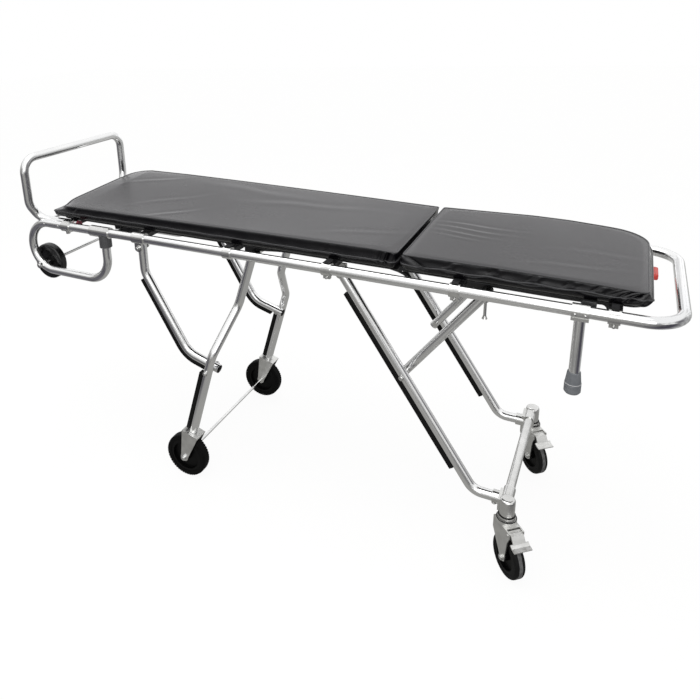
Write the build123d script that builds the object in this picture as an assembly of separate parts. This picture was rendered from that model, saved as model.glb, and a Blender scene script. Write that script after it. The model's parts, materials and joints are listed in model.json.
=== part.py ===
"""Roll-in mortuary cot with folding legs, as separate pieces.

Millimetres. +X points to the operator's end, the near side is -Y and +Z is up. Every piece is drawn with
level rails; the cot then stands a little lower at the operator's end, which one last turn of all pieces
gives. After it the floor is Z = 0, and the origin lies on the floor under the middle of the cot.
"""

import os
from math import asin, atan2, cos, degrees, hypot, radians, sin

from build123d import *

# Tubes
TUBE_R = 14.0
TUBE_WALL = 2.0
BRACE_R = 12.5
GAP = 0.05

# Fasteners: pivot pins, link bolts with their heads and bushes, and hinge pins
PIN_R = 6.0
LINK_R = 5.0
LINK_HEAD_R = 8.0
LINK_HEAD = 5.0
BUSH_R = 9.0
HINGE_PIN_R = 3.0
PIN_REACH = 20.0

# Stand: the tilt of the rails to the floor, and the move that centres the whole cot on the origin
TILT = 1.2
CENTRE_X = -4.7

# Frame
RAIL_Y = 240.0
RAIL_Z = 816.0
END_X = 975.0
END_BEND = 80.0
LOOP_X = -983.0
LOOP_DROP = 172.0
LOOP_CORNER = 84.0
RISER_X = -647.0
RAIL_START = LOOP_X + LOOP_DROP / 2 + 2.0
RAIL_END = END_X - END_BEND - 2.0

# Push handle
HANDLE_RUN_Y = RAIL_Y - 2 * TUBE_R - 0.3
HANDLE_TOP_Z = 1030.0
HANDLE_RUN_END = -786.0
HANDLE_CLAMP_X = -808.0
HANDLE_CLAMP_HALF = 17.0
HANDLE_ROD_X = -928.0
HANDLE_ROD_R = 5.0
HANDLE_FOOT_IN = 13.0
HANDLE_FOOT_UP = 56.0
HANDLE_BENDS = (38.0, 60.0, 50.0)

# Rail clamps and cross members
CLAMP_R = 18.0
CLAMP_LENGTH = 26.0
BRACKET_X = -503.0
POST_BAR_X = 783.0
CLAMP_XS = (-177.0, 138.0, 482.0, 837.0)
LUGGED_CLAMPS = (138.0, 482.0, 837.0)
LUG_HALF = 10.0
LUG_DROP = 26.0
LUG_SCREW_DROP = 22.0
LUG_SCREW_R = 3.5
BRACKET_LENGTH = 46.0
BRACKET_EAR_R = 13.0
BRACKET_PLATE = 6.0
RISER_SLEEVE = 78.0
BAR_WIDTH = 30.0
TAB_HALF = 8.0
TAB_THICK = 4.0
BAR_PLAY = 0.6
BAR_LOW = RAIL_Z - 4.0
BAR_TOP = RAIL_Z + 10.0

# Deck and mattress
DECK_LOW = BAR_TOP + 0.3
DECK_THICK = 3.0
DECK_Y = 198.0
DECK_SPLIT = 328.5
DECK_ENDS = (-880.0, 900.0)
HINGE_R = 6.0
KNUCKLE_YS = (-150, -50, 50, 150)
KNUCKLE = 20.0
KNUCKLE_REACH = 14.0
DECK_CORNER = 40.0
PAD_LOW = DECK_LOW + DECK_THICK + 0.3
PAD_HEIGHT = 64.0
PAD_Y = 217.0
PAD_LONG = (-896.0, 312.0)
PAD_SHORT = (345.0, 911.0)
PAD_OUTER_CORNER = 70.0
PAD_SPLIT_CORNER = 18.0

# Loading wheels and support posts
LOADING_R = 63.5
LOADING_WIDTH = 30.0
LOADING_Y = 206.0
LOADING_AXLE_R = 6.0
LOADING_AXLE_TURN = 234.5
LOADING_NUT_R = 10.0
LOADING_NUT = 7.0
LOADING_BOSS_R = 15.0
LOADING_WEB = 14.0
COLLAR_R = 20.0
COLLAR_DROPS = (49.0, 8.0)
POST_X = 767.5
POST_FOOT = 606.5
POST_TIP = 54.0
POST_SEAT = 14.0
SADDLE_HALF = 19.0
SADDLE_SCREW_X = 11.0
SADDLE_SCREW_R = 2.5

# Front legs: pivot on the rail bracket, link of brace and leg, and slide under the deck, as (x, z)
FRONT_PIVOT = (-515.0, 780.0)
FRONT_LINK = (-271.0, 407.0)
FRONT_SLIDE = (-155.5, 772.0)
FRONT_FOLD = 50.0
BRACE_Y = 217.0
BRACE_NECK = (-515.0, 691.0)
BRACE_ELBOW = (-367.5, 435.0)
BRACE_BENDS = (60.0, 80.0)
BRACE_STRIP_TOP = 677.0
FRONT_WHEEL_Y = 258.0
FRONT_TOP_Y = 142.0
FRONT_WHEEL_R = 75.0
FRONT_WHEEL_WIDTH = 32.0
FRONT_RIM_R = 58.0
FRONT_AXLE = (-372.0, FRONT_WHEEL_R)
FORK_TOP = 100.0
FORK_TOP_HALF = 31.0
FORK_FOOT_HALF = 13.0
FORK_PLATE = 4.0
FORK_PLAY = 4.0
LEG_BEND = 55.0
KNEE_Y = 251.0
LEG_KNEE = (-253.0, 463.0)
LEG_SHOULDER = (-213.0, 601.0)

# Rear legs: pivot under the deck, link of leg and brace, and slide under the deck, as (x, z)
REAR_PIVOT = (160.0, 790.0)
REAR_LINK = (342.0, 516.0)
REAR_SLIDE = (539.0, 776.0)
REAR_FOLD = 46.4
REAR_LEG_Y = 192.0
REAR_BRACE_Y = 152.0
REAR_HEEL = (547.0, 209.0)
REAR_TOE_X = 616.0
REAR_BEND = 45.0
REAR_STRIP_ENDS = (745.0, 276.0)
EAR_R = 14.0
EAR_PLATE = 6.0

# Slide tracks
TRACK_Y = 120.0
TRACK_THICK = 5.0
TRACK_HALF = 18.0
SLOT_HALF = 12.0
SLIDE_ROD_R = 7.0

# Castors, with heights above the floor; the castings' heights are those of the level frame
CASTOR_X = 644.0
CASTOR_Y = 227.0
CASTOR_TURN = -49.0
CASTOR_TRAIL = 24.0
CASTOR_R = 59.0
CASTOR_WIDTH = 31.0
CASTOR_CROWN_Z = 150.0
CASTOR_HEAD_Z = 173.0
CASTING_TOP = 244.0
HOUSING_R = 20.0
SOCKET_R = 18.0
ARM_R = 15.5
ARM_END_Y = 168.0
CROSS_TUBE_Z = 226.0
CROSS_TUBE_Y = 184.8
STEM_R = 12.0
STEM_RISE = 34.0
CASTOR_PLATE = 3.5
CASTOR_PLAY = 3.0
CASTOR_CHEEK = ((-26, 154), (-26, 118), (16, 54), (36, 54), (42, 118), (50, 138), (50, 154))
CASTOR_AXLE_R = 4.0
RACE_RINGS = ((13.0, 27.0), (22.6, 23.0))
PEDAL_PIN = (42.0, 145.0)
PEDAL_PIN_R = 3.0
PEDAL_BARREL_R = 5.5
PEDAL_TOP = ((35, 150), (35, 147), (52, 147), (57, 140), (63, 131), (66, 133.5), (60, 142), (54, 150))
PEDAL_LIP = ((62, 132.2), (63, 131), (72, 126), (84, 124), (84.5, 127), (73, 129), (66, 133.5), (64.4, 135.5))
PEDAL_LIP_OUT = 8.0

# Plunger of the fold lock and release handle
PLUNGER_X = 536.0
PLUNGER_R = 4.0
PLUNGER_HOUSING_R = 8.0
PLUNGER_DROP = 62.0
KNOB = (7.5, 4.5, 8.0)
RELEASE_Y = 98.0
RELEASE_R = 5.0
RELEASE_END_X = 928.0
RELEASE_GRIP = (20.0, 60.0, 17.0)

# Bumper strips
STRIP_WIDTH = 20.0
STRIP_OUT = 26.0

nodes = {}


def mirrored(shape):
    """The same piece on the far side."""
    return mirror(shape, about=Plane.XZ)


def pair(shape):
    """Near and far pieces as one group of separate solids."""
    return Compound(children=[shape, mirrored(shape)])


def group(shapes):
    return Compound(children=list(shapes))


def rod(start, end, radius):
    """Round bar between two points."""
    run = Vector(*end) - Vector(*start)
    grow = (Align.CENTER, Align.CENTER, Align.MIN)
    return Plane(origin=start, z_dir=run) * Cylinder(radius, run.length, align=grow)


def straight_tube(start, end, radius=TUBE_R, wall=TUBE_WALL):
    return rod(start, end, radius) - rod(start, end, radius - wall)


def bent_tube(points, radii, radius=TUBE_R, wall=TUBE_WALL):
    """Tube along straight runs joined by tangent bends."""
    path = FilletPolyline(*points, radius=radii)
    section = Plane(origin=path @ 0, z_dir=path % 0) * (Circle(radius) - Circle(radius - wall))
    return sweep(section, path=path)


def slab(low, high):
    """Box between two opposite corners."""
    size = [b - a for a, b in zip(low, high)]
    middle = [(a + b) / 2 for a, b in zip(low, high)]
    return Pos(*middle) * Box(*size)


def cut_from_xz(sketch, y_low, y_high):
    """Flat outline in X and Z, as a plate between two Y values."""
    return extrude(Plane.XZ.offset(-y_high) * sketch, amount=y_high - y_low, dir=(0, -1, 0))


def bolt(x, z, y_low, y_high, radius, head_r, head):
    """Bolt along Y with a head on both ends, outside y_low and y_high."""
    shank = rod((x, y_low, z), (x, y_high, z), radius)
    near = rod((x, y_low - head, z), (x, y_low, z), head_r)
    far = rod((x, y_high, z), (x, y_high + head, z), head_r)
    return shank + [near, far]


def bore_through(x, z, y, radius, reach=PIN_REACH):
    """Hole along Y for a pin, centred on one Y value."""
    return rod((x, y - reach, z), (x, y + reach, z), radius + GAP)


def along(start, end, share):
    """Point on the line from start to end, as (x, z)."""
    return tuple(a + (b - a) * share for a, b in zip(start, end))


def at_height(start, end, z):
    return along(start, end, (z - start[1]) / (end[1] - start[1]))


def beyond(start, end, extra):
    """Point that lies extra past end on the line from start."""
    return along(start, end, 1 + extra / hypot(end[0] - start[0], end[1] - start[1]))


def turned(vector, angle):
    c, s = cos(radians(angle)), sin(radians(angle))
    return (vector[0] * c - vector[1] * s, vector[0] * s + vector[1] * c)


def second_turn(pivot, link, slide, fold):
    """How far the second bar turns while the first turns by fold, and its roller ends at its first height."""
    bar = turned((link[0] - pivot[0], link[1] - pivot[1]), fold)
    reach = hypot(slide[0] - link[0], slide[1] - link[1])
    first = degrees(atan2(slide[1] - link[1], slide[0] - link[0]))
    last = degrees(asin((slide[1] - pivot[1] - bar[1]) / reach))
    return first - last


def slide_path(pivot, link, slide, fold, steps=10):
    """Roller places through the fold, with the second bar turning in a constant ratio to the first."""
    turn = second_turn(pivot, link, slide, fold)
    places = []
    for step in range(steps + 1):
        share = step / steps
        first = turned((link[0] - pivot[0], link[1] - pivot[1]), fold * share)
        second = turned((slide[0] - link[0], slide[1] - link[1]), -turn * share)
        places.append((pivot[0] + first[0] + second[0], pivot[1] + first[1] + second[1]))
    return places


def capsule_chain(places, half, y_low, y_high):
    """Plate that is the union of round-ended bars from place to place."""
    outline = Sketch()
    for start, end in zip(places, places[1:]):
        run = (end[0] - start[0], end[1] - start[1])
        slot = SlotCenterToCenter(hypot(*run), 2 * half)
        middle = along(start, end, 0.5)
        outline += Pos(*middle) * Rot(0, 0, degrees(atan2(run[1], run[0]))) * slot
    return cut_from_xz(outline, y_low, y_high)


def strip_section(plane, tube_radius=TUBE_R):
    """Section of a bumper strip that sits on the leading side of a tube."""
    inner = tube_radius - 2
    bar = Pos(0, -(inner + STRIP_OUT) / 2) * RectangleRounded(STRIP_WIDTH, STRIP_OUT - inner, 3)
    return plane * (bar - Circle(tube_radius + GAP))


def bumper_strip(places, radii=None):
    """Strip along the leading side of a tube whose axis runs through the places."""
    path = FilletPolyline(*places, radius=radii) if radii else Line(*places)
    run = path % 0
    across = Vector(0, 1, 0) - run * run.Y
    plane = Plane(origin=path @ 0, x_dir=across, z_dir=run)
    return sweep(strip_section(plane), path=path)


def at_y(points, y):
    """Places of (x, z) points in the plane of one Y value."""
    return [(x, y, z) for x, z in points]


def wheel_tyre(tyre_r, rim_r, width, shoulder):
    ring = Pos((tyre_r + rim_r) / 2, 0) * Rectangle(tyre_r - rim_r, width)
    outer = ring.vertices().group_by(Axis.X)[-1]
    return revolve(Plane.XZ * fillet(outer, shoulder), Axis.Z)


def wheel_hub(rim_r, width, bore_r, boss_r, boss_width, web):
    rim_depth = 9.0
    boss = Pos((bore_r + boss_r) / 2, 0) * Rectangle(boss_r - bore_r, boss_width)
    disc = Pos((boss_r + rim_r) / 2 - rim_depth / 2, 0) * Rectangle(rim_r - boss_r - rim_depth, web)
    rim = Pos(rim_r - rim_depth / 2, 0) * Rectangle(rim_depth, width - 2)
    return revolve(Plane.XZ * (boss + disc + rim), Axis.Z)


def make_frame_tubes():
    for side, y in (("near", -RAIL_Y), ("far", RAIL_Y)):
        nodes[f"side_rail_{side}"] = straight_tube((RAIL_START, y, RAIL_Z), (RAIL_END, y, RAIL_Z))
    end_points = [
        (RAIL_END, -RAIL_Y, RAIL_Z),
        (END_X, -RAIL_Y, RAIL_Z),
        (END_X, RAIL_Y, RAIL_Z),
        (RAIL_END, RAIL_Y, RAIL_Z),
    ]
    nodes["end_loop"] = bent_tube(end_points, END_BEND)


def loading_axle_place():
    """Centre of the loading axle: on the tube's line, in the lower outer bend of the loop."""
    bend = LOOP_DROP / 2
    turn = radians(LOADING_AXLE_TURN)
    return (LOOP_X + bend + bend * cos(turn), RAIL_Z - bend + bend * sin(turn))


def make_loading_end():
    axle_x, axle_z = loading_axle_place()
    low = RAIL_Z - LOOP_DROP
    loop_points = [
        (RAIL_START, RAIL_Z),
        (LOOP_X, RAIL_Z),
        (LOOP_X, low),
        (RISER_X, low),
        (RISER_X, RAIL_Z - CLAMP_R - 1),
    ]
    bend = LOOP_DROP / 2 - 0.1
    loop = bent_tube(at_y(loop_points, -RAIL_Y), [bend, bend, LOOP_CORNER])
    half = RAIL_Y + PIN_REACH
    axle = rod((axle_x, -half, axle_z), (axle_x, half, axle_z), LOADING_AXLE_R)
    loop -= rod((axle_x, -RAIL_Y - PIN_REACH, axle_z), (axle_x, 0, axle_z), LOADING_AXLE_R + GAP)
    nodes["loading_loops"] = pair(loop)
    for y in (-RAIL_Y - TUBE_R - LOADING_NUT, RAIL_Y + TUBE_R):
        axle += rod((axle_x, y, axle_z), (axle_x, y + LOADING_NUT, axle_z), LOADING_NUT_R)
    nodes["loading_axle"] = axle
    low, high = (RAIL_Z - drop for drop in COLLAR_DROPS)
    collar = rod((RISER_X, -RAIL_Y, low), (RISER_X, -RAIL_Y, high), COLLAR_R)
    cut = 2 * COLLAR_R
    collar -= rod((RISER_X - cut, -RAIL_Y, RAIL_Z), (RISER_X + cut, -RAIL_Y, RAIL_Z), CLAMP_R + GAP)
    collar -= rod((RISER_X, -RAIL_Y, 0), (RISER_X, -RAIL_Y, RAIL_Z - CLAMP_R - 0.5), TUBE_R + GAP)
    nodes["loop_collars"] = pair(max(collar.solids(), key=lambda s: s.volume))
    bore = LOADING_AXLE_R + GAP
    wheel = wheel_hub(LOADING_R - 10, LOADING_WIDTH, bore, LOADING_BOSS_R, LOADING_WIDTH, LOADING_WEB)
    wheel += wheel_tyre(LOADING_R, LOADING_R - 11, LOADING_WIDTH, 8)
    for side, y in (("near", -LOADING_Y), ("far", LOADING_Y)):
        nodes[f"loading_wheel_{side}"] = Plane(origin=(axle_x, y, axle_z), z_dir=(0, 1, 0)) * wheel


def make_push_handle():
    """U-shaped handle whose lower runs lie inside the rails and swing out to the uprights."""
    near_side = [
        (HANDLE_RUN_END, -HANDLE_RUN_Y, RAIL_Z),
        (-END_X + HANDLE_FOOT_IN, -HANDLE_RUN_Y, RAIL_Z),
        (-END_X, -RAIL_Y, RAIL_Z + HANDLE_FOOT_UP),
        (-END_X, -RAIL_Y, HANDLE_TOP_Z),
    ]
    far_side = [(x, -y, z) for x, y, z in reversed(near_side)]
    handle = bent_tube(near_side + far_side, [*HANDLE_BENDS, *reversed(HANDLE_BENDS)])
    ends = (HANDLE_ROD_X, -HANDLE_RUN_Y, RAIL_Z), (HANDLE_ROD_X, HANDLE_RUN_Y, RAIL_Z)
    nodes["push_handle"] = handle - rod(*ends, HANDLE_ROD_R + GAP)
    nodes["handle_cross_rod"] = rod(*ends, HANDLE_ROD_R)
    half = HANDLE_CLAMP_HALF
    middle_y = -(RAIL_Y + HANDLE_RUN_Y) / 2
    shell = SlotCenterToCenter(RAIL_Y - HANDLE_RUN_Y, 2 * CLAMP_R)
    place = Plane(origin=(HANDLE_CLAMP_X - half, middle_y, RAIL_Z), x_dir=(0, 1, 0), z_dir=(1, 0, 0))
    clamp = extrude(place * shell, amount=2 * half)
    for y in (-RAIL_Y, -HANDLE_RUN_Y):
        ends = (HANDLE_CLAMP_X - 2 * half, y, RAIL_Z), (HANDLE_CLAMP_X + 2 * half, y, RAIL_Z)
        clamp -= rod(*ends, TUBE_R + GAP)
    low, high = HANDLE_CLAMP_X - half, HANDLE_CLAMP_X + half
    clamp -= slab((low, middle_y - 5, RAIL_Z - 8), (high, middle_y + 5, RAIL_Z + 8))
    clamp -= slab((low, middle_y, PAD_LOW - 0.5), (high, 0, RAIL_Z + 30))
    clamp -= slab((low, -DECK_Y - 4, DECK_LOW - 0.5), (high, 0, RAIL_Z + 30))
    foot, root = RAIL_Z - CLAMP_R - 7, RAIL_Z - TUBE_R - 2
    clamp += rod((HANDLE_CLAMP_X, -RAIL_Y, foot), (HANDLE_CLAMP_X, -RAIL_Y, root), 7)
    nodes["handle_clamps"] = pair(clamp)
    start = (HANDLE_RUN_END - 12, -HANDLE_RUN_Y, RAIL_Z)
    face = (HANDLE_RUN_END + 0.1, -HANDLE_RUN_Y, RAIL_Z)
    plug = rod(start, face, TUBE_R - TUBE_WALL - GAP)
    plug += rod(face, (HANDLE_RUN_END + 5, -HANDLE_RUN_Y, RAIL_Z), TUBE_R - 1)
    nodes["handle_end_plugs"] = pair(plug)


def rail_sleeve(x, length):
    ends = (x - length / 2, -RAIL_Y, RAIL_Z), (x + length / 2, -RAIL_Y, RAIL_Z)
    return straight_tube(*ends, CLAMP_R, CLAMP_R - TUBE_R - GAP)


def make_clamps_and_bars():
    clamps = [rail_sleeve(RISER_X - 15, RISER_SLEEVE)]
    for x in CLAMP_XS:
        clamp = rail_sleeve(x, CLAMP_LENGTH)
        if x in LUGGED_CLAMPS:
            low, root, screw = RAIL_Z - LUG_DROP, RAIL_Z - TUBE_R + 2, RAIL_Z - LUG_SCREW_DROP
            lug = slab((x - LUG_HALF, -RAIL_Y - 5, low), (x + LUG_HALF, -RAIL_Y + 5, root))
            lug += rod((x, -RAIL_Y - 8, screw), (x, -RAIL_Y + 8, screw), LUG_SCREW_R)
            clamp += lug - rod((x - 30, -RAIL_Y, RAIL_Z), (x + 30, -RAIL_Y, RAIL_Z), TUBE_R + 1)
        clamps.append(clamp)
    px, pz = FRONT_PIVOT
    bracket = rail_sleeve(BRACKET_X, BRACKET_LENGTH)
    outer = -BRACE_Y - TUBE_R - 1.5
    plate = Pos(px, pz) * Circle(BRACKET_EAR_R) + Pos(px, pz + 14) * Rectangle(2 * BRACKET_EAR_R, 28)
    plate_out = outer - BRACKET_PLATE
    bracket += cut_from_xz(plate, plate_out, outer)
    bracket -= rod((px - 60, -RAIL_Y, RAIL_Z), (px + 60, -RAIL_Y, RAIL_Z), TUBE_R + GAP)
    inner = -BRACE_Y + TUBE_R + 1
    pin = rod((px, outer, pz), (px, inner, pz), PIN_R) + rod((px, inner, pz), (px, inner + 6, pz), 11)
    bracket += pin + rod((px, plate_out - LINK_HEAD, pz), (px, plate_out, pz), BUSH_R)
    clamps.append(bracket)
    nodes["rail_clamps"] = group(clamps + [mirrored(c) for c in clamps])
    bars = []
    for x in (HANDLE_CLAMP_X, BRACKET_X, POST_BAR_X) + CLAMP_XS:
        end = RAIL_Y - CLAMP_R - BAR_PLAY
        if x == HANDLE_CLAMP_X:
            end = HANDLE_RUN_Y - CLAMP_R - BAR_PLAY
        bar = slab((x - BAR_WIDTH / 2, -end, BAR_LOW), (x + BAR_WIDTH / 2, end, BAR_TOP))
        if x in CLAMP_XS:
            tab = RAIL_Z + CLAMP_R + 0.3
            inside, top = TAB_THICK - end, tab + TAB_THICK
            riser = slab((x - TAB_HALF, -end, BAR_TOP), (x + TAB_HALF, inside, top))
            riser += slab((x - TAB_HALF, -RAIL_Y - 6, tab), (x + TAB_HALF, inside, top))
            bar += [riser, mirrored(riser)]
        if x == POST_BAR_X:
            inside = TAB_THICK - end
            ear = slab((x - BAR_WIDTH / 2, -end, BAR_TOP), (x + BAR_WIDTH / 2, inside, BAR_TOP + 9))
            bar += [ear, mirrored(ear)]
        bars.append(bar)
    nodes["cross_members"] = group(bars)


def pad_section(x, half, low, top, crown):
    """Section of a pad across X: flat below, a seam at mid height, drawn-in sides and a crowned top."""
    seam = low + (top - low) * 0.45
    foot, brow = half - 12, half - 8
    if top - low < 20:
        foot, brow = half - 2, half - 2
    right = [
        ThreePointArc((foot, low), (half - 2, (low + seam) / 2 - 1), (half, seam)),
        ThreePointArc((half, seam), (half - 1, (seam + top) / 2 + 1), (brow, top)),
    ]
    left = [
        ThreePointArc((-brow, top), (1 - half, (seam + top) / 2 + 1), (-half, seam)),
        ThreePointArc((-half, seam), (2 - half, (low + seam) / 2 - 1), (-foot, low)),
    ]
    over = ThreePointArc((brow, top), (0, crown), (-brow, top))
    edges = [Line((-foot, low), (foot, low)), *right, over, *left]
    return Plane(origin=(x, 0, 0), x_dir=(0, 1, 0), z_dir=(1, 0, 0)) * make_face(edges)


def make_pad(start, end, start_corner, end_corner):
    """Pillow-like pad: thin at its end seams, drawn in between its corners, crowned in the middle."""
    seam, brow, crown = PAD_LOW + 24, PAD_LOW + 51, PAD_LOW + PAD_HEIGHT

    def section(x, inset, corner):
        near_end = max(0.0, corner - inset)
        half = PAD_Y - corner + (corner**2 - near_end**2) ** 0.5
        rise = (1 - (1 - min(1.0, inset / 26)) ** 2) ** 0.5
        swell = (1 - (1 - min(1.0, inset / 150)) ** 2) ** 0.5
        low = seam - 5 - (seam - 5 - PAD_LOW) * rise
        top = seam + 5 + (brow - seam - 5) * rise
        return pad_section(x, half, low, top, top + 1 + (crown - brow - 1) * swell)

    insets = (0.0, 2.0, 6.0, 13.0, 26.0, 45.0, 70.0, 110.0, 160.0)
    sections = [section(start + inset, inset, start_corner) for inset in insets]
    sections.append(pad_section((start + end) / 2, PAD_Y - 4, PAD_LOW, brow, crown))
    sections += [section(end - inset, inset, end_corner) for inset in reversed(insets)]
    return loft(sections, ruled=True)


def make_deck():
    low, top = DECK_LOW, DECK_LOW + DECK_THICK
    seam = 2.0
    spans = {"deck_long": (DECK_ENDS[0], DECK_SPLIT - seam), "deck_short": (DECK_SPLIT + seam, DECK_ENDS[1])}
    hinge_z = top - 1.5
    for name, (start, end) in spans.items():
        panel = slab((start, -DECK_Y, low), (end, DECK_Y, top))
        corners = panel.edges().filter_by(Axis.Z).group_by(Axis.X)[0 if name == "deck_long" else -1]
        panel = fillet(corners, DECK_CORNER)
        panel -= rod((DECK_SPLIT, -DECK_Y, hinge_z), (DECK_SPLIT, DECK_Y, hinge_z), HINGE_R + 1)
        for y in KNUCKLE_YS:
            near = y - 1 - KNUCKLE if name == "deck_long" else y + 1
            far = near + KNUCKLE
            knuckle = rod((DECK_SPLIT, near, hinge_z), (DECK_SPLIT, far, hinge_z), HINGE_R)
            reach = -KNUCKLE_REACH if name == "deck_long" else KNUCKLE_REACH
            ends = sorted((DECK_SPLIT, DECK_SPLIT + reach))
            knuckle += slab((ends[0], near, low), (ends[1], far, low + DECK_THICK))
            panel += knuckle
            panel -= rod((DECK_SPLIT, near, hinge_z), (DECK_SPLIT, far, hinge_z), HINGE_PIN_R + GAP)
        nodes[name] = panel
    half = KNUCKLE + 2
    nodes["hinge_pins"] = group(
        rod((DECK_SPLIT, y - half, hinge_z), (DECK_SPLIT, y + half, hinge_z), HINGE_PIN_R) for y in KNUCKLE_YS
    )
    nodes["mattress_long"] = make_pad(*PAD_LONG, PAD_OUTER_CORNER, PAD_SPLIT_CORNER)
    nodes["mattress_short"] = make_pad(*PAD_SHORT, PAD_SPLIT_CORNER, PAD_OUTER_CORNER)


def make_support_posts():
    half = SADDLE_HALF
    saddle = rail_sleeve(POST_X, 2 * half)
    base = RAIL_Z - 15
    saddle += slab((POST_X - half, -RAIL_Y - 15, base - 4), (POST_X + half, -RAIL_Y + 15, base + 4))
    saddle -= rod((POST_X - 40, -RAIL_Y, RAIL_Z), (POST_X + 40, -RAIL_Y, RAIL_Z), TUBE_R + GAP)
    for x in (POST_X - SADDLE_SCREW_X, POST_X + SADDLE_SCREW_X):
        saddle += rod((x, -RAIL_Y - 18, RAIL_Z - 3), (x, -RAIL_Y - 16, RAIL_Z - 3), SADDLE_SCREW_R)
    nodes["post_saddles"] = pair(saddle)
    foot = POST_FOOT
    seat, tip_top = foot + POST_SEAT, foot + POST_TIP
    post_r = BRACE_R
    post = straight_tube((POST_X, -RAIL_Y, seat), (POST_X, -RAIL_Y, base - 4), post_r)
    nodes["support_posts"] = pair(post)
    outline = [(0, foot), (16, foot), (19, foot + 4), (19, foot + 22), (17.8, foot + 24), (18.2, foot + 27)]
    outline += [(15, tip_top), (post_r + GAP, tip_top), (post_r + GAP, seat), (0, seat)]
    profile = make_face(Polyline(*outline, close=True))
    nodes["post_tips"] = pair(Pos(POST_X, -RAIL_Y, 0) * revolve(Plane.XZ * profile, Axis.Z))


def make_tracks():
    y_low, y_high = -TRACK_Y - TRACK_THICK / 2, -TRACK_Y + TRACK_THICK / 2
    tracks = []
    spans = (
        (FRONT_PIVOT, FRONT_LINK, FRONT_SLIDE, FRONT_FOLD, (-192, -140), (118, 158)),
        (REAR_PIVOT, REAR_LINK, REAR_SLIDE, REAR_FOLD, (467, 545), (790, 852)),
    )
    for pivot, link, slide, fold, first_hanger, last_hanger in spans:
        places = slide_path(pivot, link, slide, fold)
        plate = capsule_chain(places, TRACK_HALF, y_low, y_high)
        for x_low, x_high in (first_hanger, last_hanger):
            plate += slab((x_low, y_low, slide[1]), (x_high, y_high, BAR_LOW))
        tracks.append(plate - capsule_chain(places, SLOT_HALF, y_low - 1, y_high + 1))
    nodes["slide_tracks"] = group(tracks + [mirrored(t) for t in tracks])


def slide_rod(place, tops_y):
    x, z = place
    return rod((x, -tops_y - 16, z), (x, tops_y + 16, z), SLIDE_ROD_R)


def rollers(place):
    """Spools that run in the track slots."""
    x, z = place
    flange, play = 3.0, 0.75
    edge = TRACK_THICK / 2 + play
    spool = rod((x, -TRACK_Y - edge, z), (x, -TRACK_Y + edge, z), SLOT_HALF - 1.5)
    for y in (-TRACK_Y - edge - flange, -TRACK_Y + edge):
        spool += rod((x, y, z), (x, y + flange, z), SLOT_HALF + 2.5)
    return pair(spool - bore_through(x, z, -TRACK_Y, SLIDE_ROD_R))


def make_front_braces():
    px, pz = FRONT_PIVOT
    tail = beyond(BRACE_ELBOW, FRONT_LINK, 20)
    points = [(px, pz + 12), BRACE_NECK, BRACE_ELBOW, tail]
    brace = bent_tube(at_y(points, -BRACE_Y), BRACE_BENDS)
    for (x, z), radius in ((FRONT_PIVOT, PIN_R), (FRONT_LINK, LINK_R)):
        brace -= bore_through(x, z, -BRACE_Y, radius)
    nodes["front_brace_near"] = brace
    nodes["front_brace_far"] = mirrored(brace)
    strip_top = at_height(BRACE_NECK, BRACE_ELBOW, BRACE_STRIP_TOP)
    strip_points = [strip_top, BRACE_ELBOW, beyond(BRACE_ELBOW, FRONT_LINK, -24)]
    nodes["front_brace_strips"] = pair(bumper_strip(at_y(strip_points, -BRACE_Y), BRACE_BENDS[1:]))


def lower_leg(z):
    """Place on the axis of the near lower leg at one height."""
    share = (z - LEG_KNEE[1]) / (FRONT_AXLE[1] - LEG_KNEE[1])
    x = LEG_KNEE[0] + (FRONT_AXLE[0] - LEG_KNEE[0]) * share
    return (x, -KNEE_Y - (FRONT_WHEEL_Y - KNEE_Y) * share, z)


def fork_frame():
    """Plane at the near front axle: its Y axis runs up the lower leg, its normal to the near side."""
    up = Vector(LEG_KNEE[0] - FRONT_AXLE[0], 0, LEG_KNEE[1] - FRONT_AXLE[1]).normalized()
    across = Vector(0, 1, 0)
    axle = (FRONT_AXLE[0], -FRONT_WHEEL_Y, FRONT_AXLE[1])
    return Plane(origin=axle, x_dir=across.cross(up), z_dir=(0, -1, 0))


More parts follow.
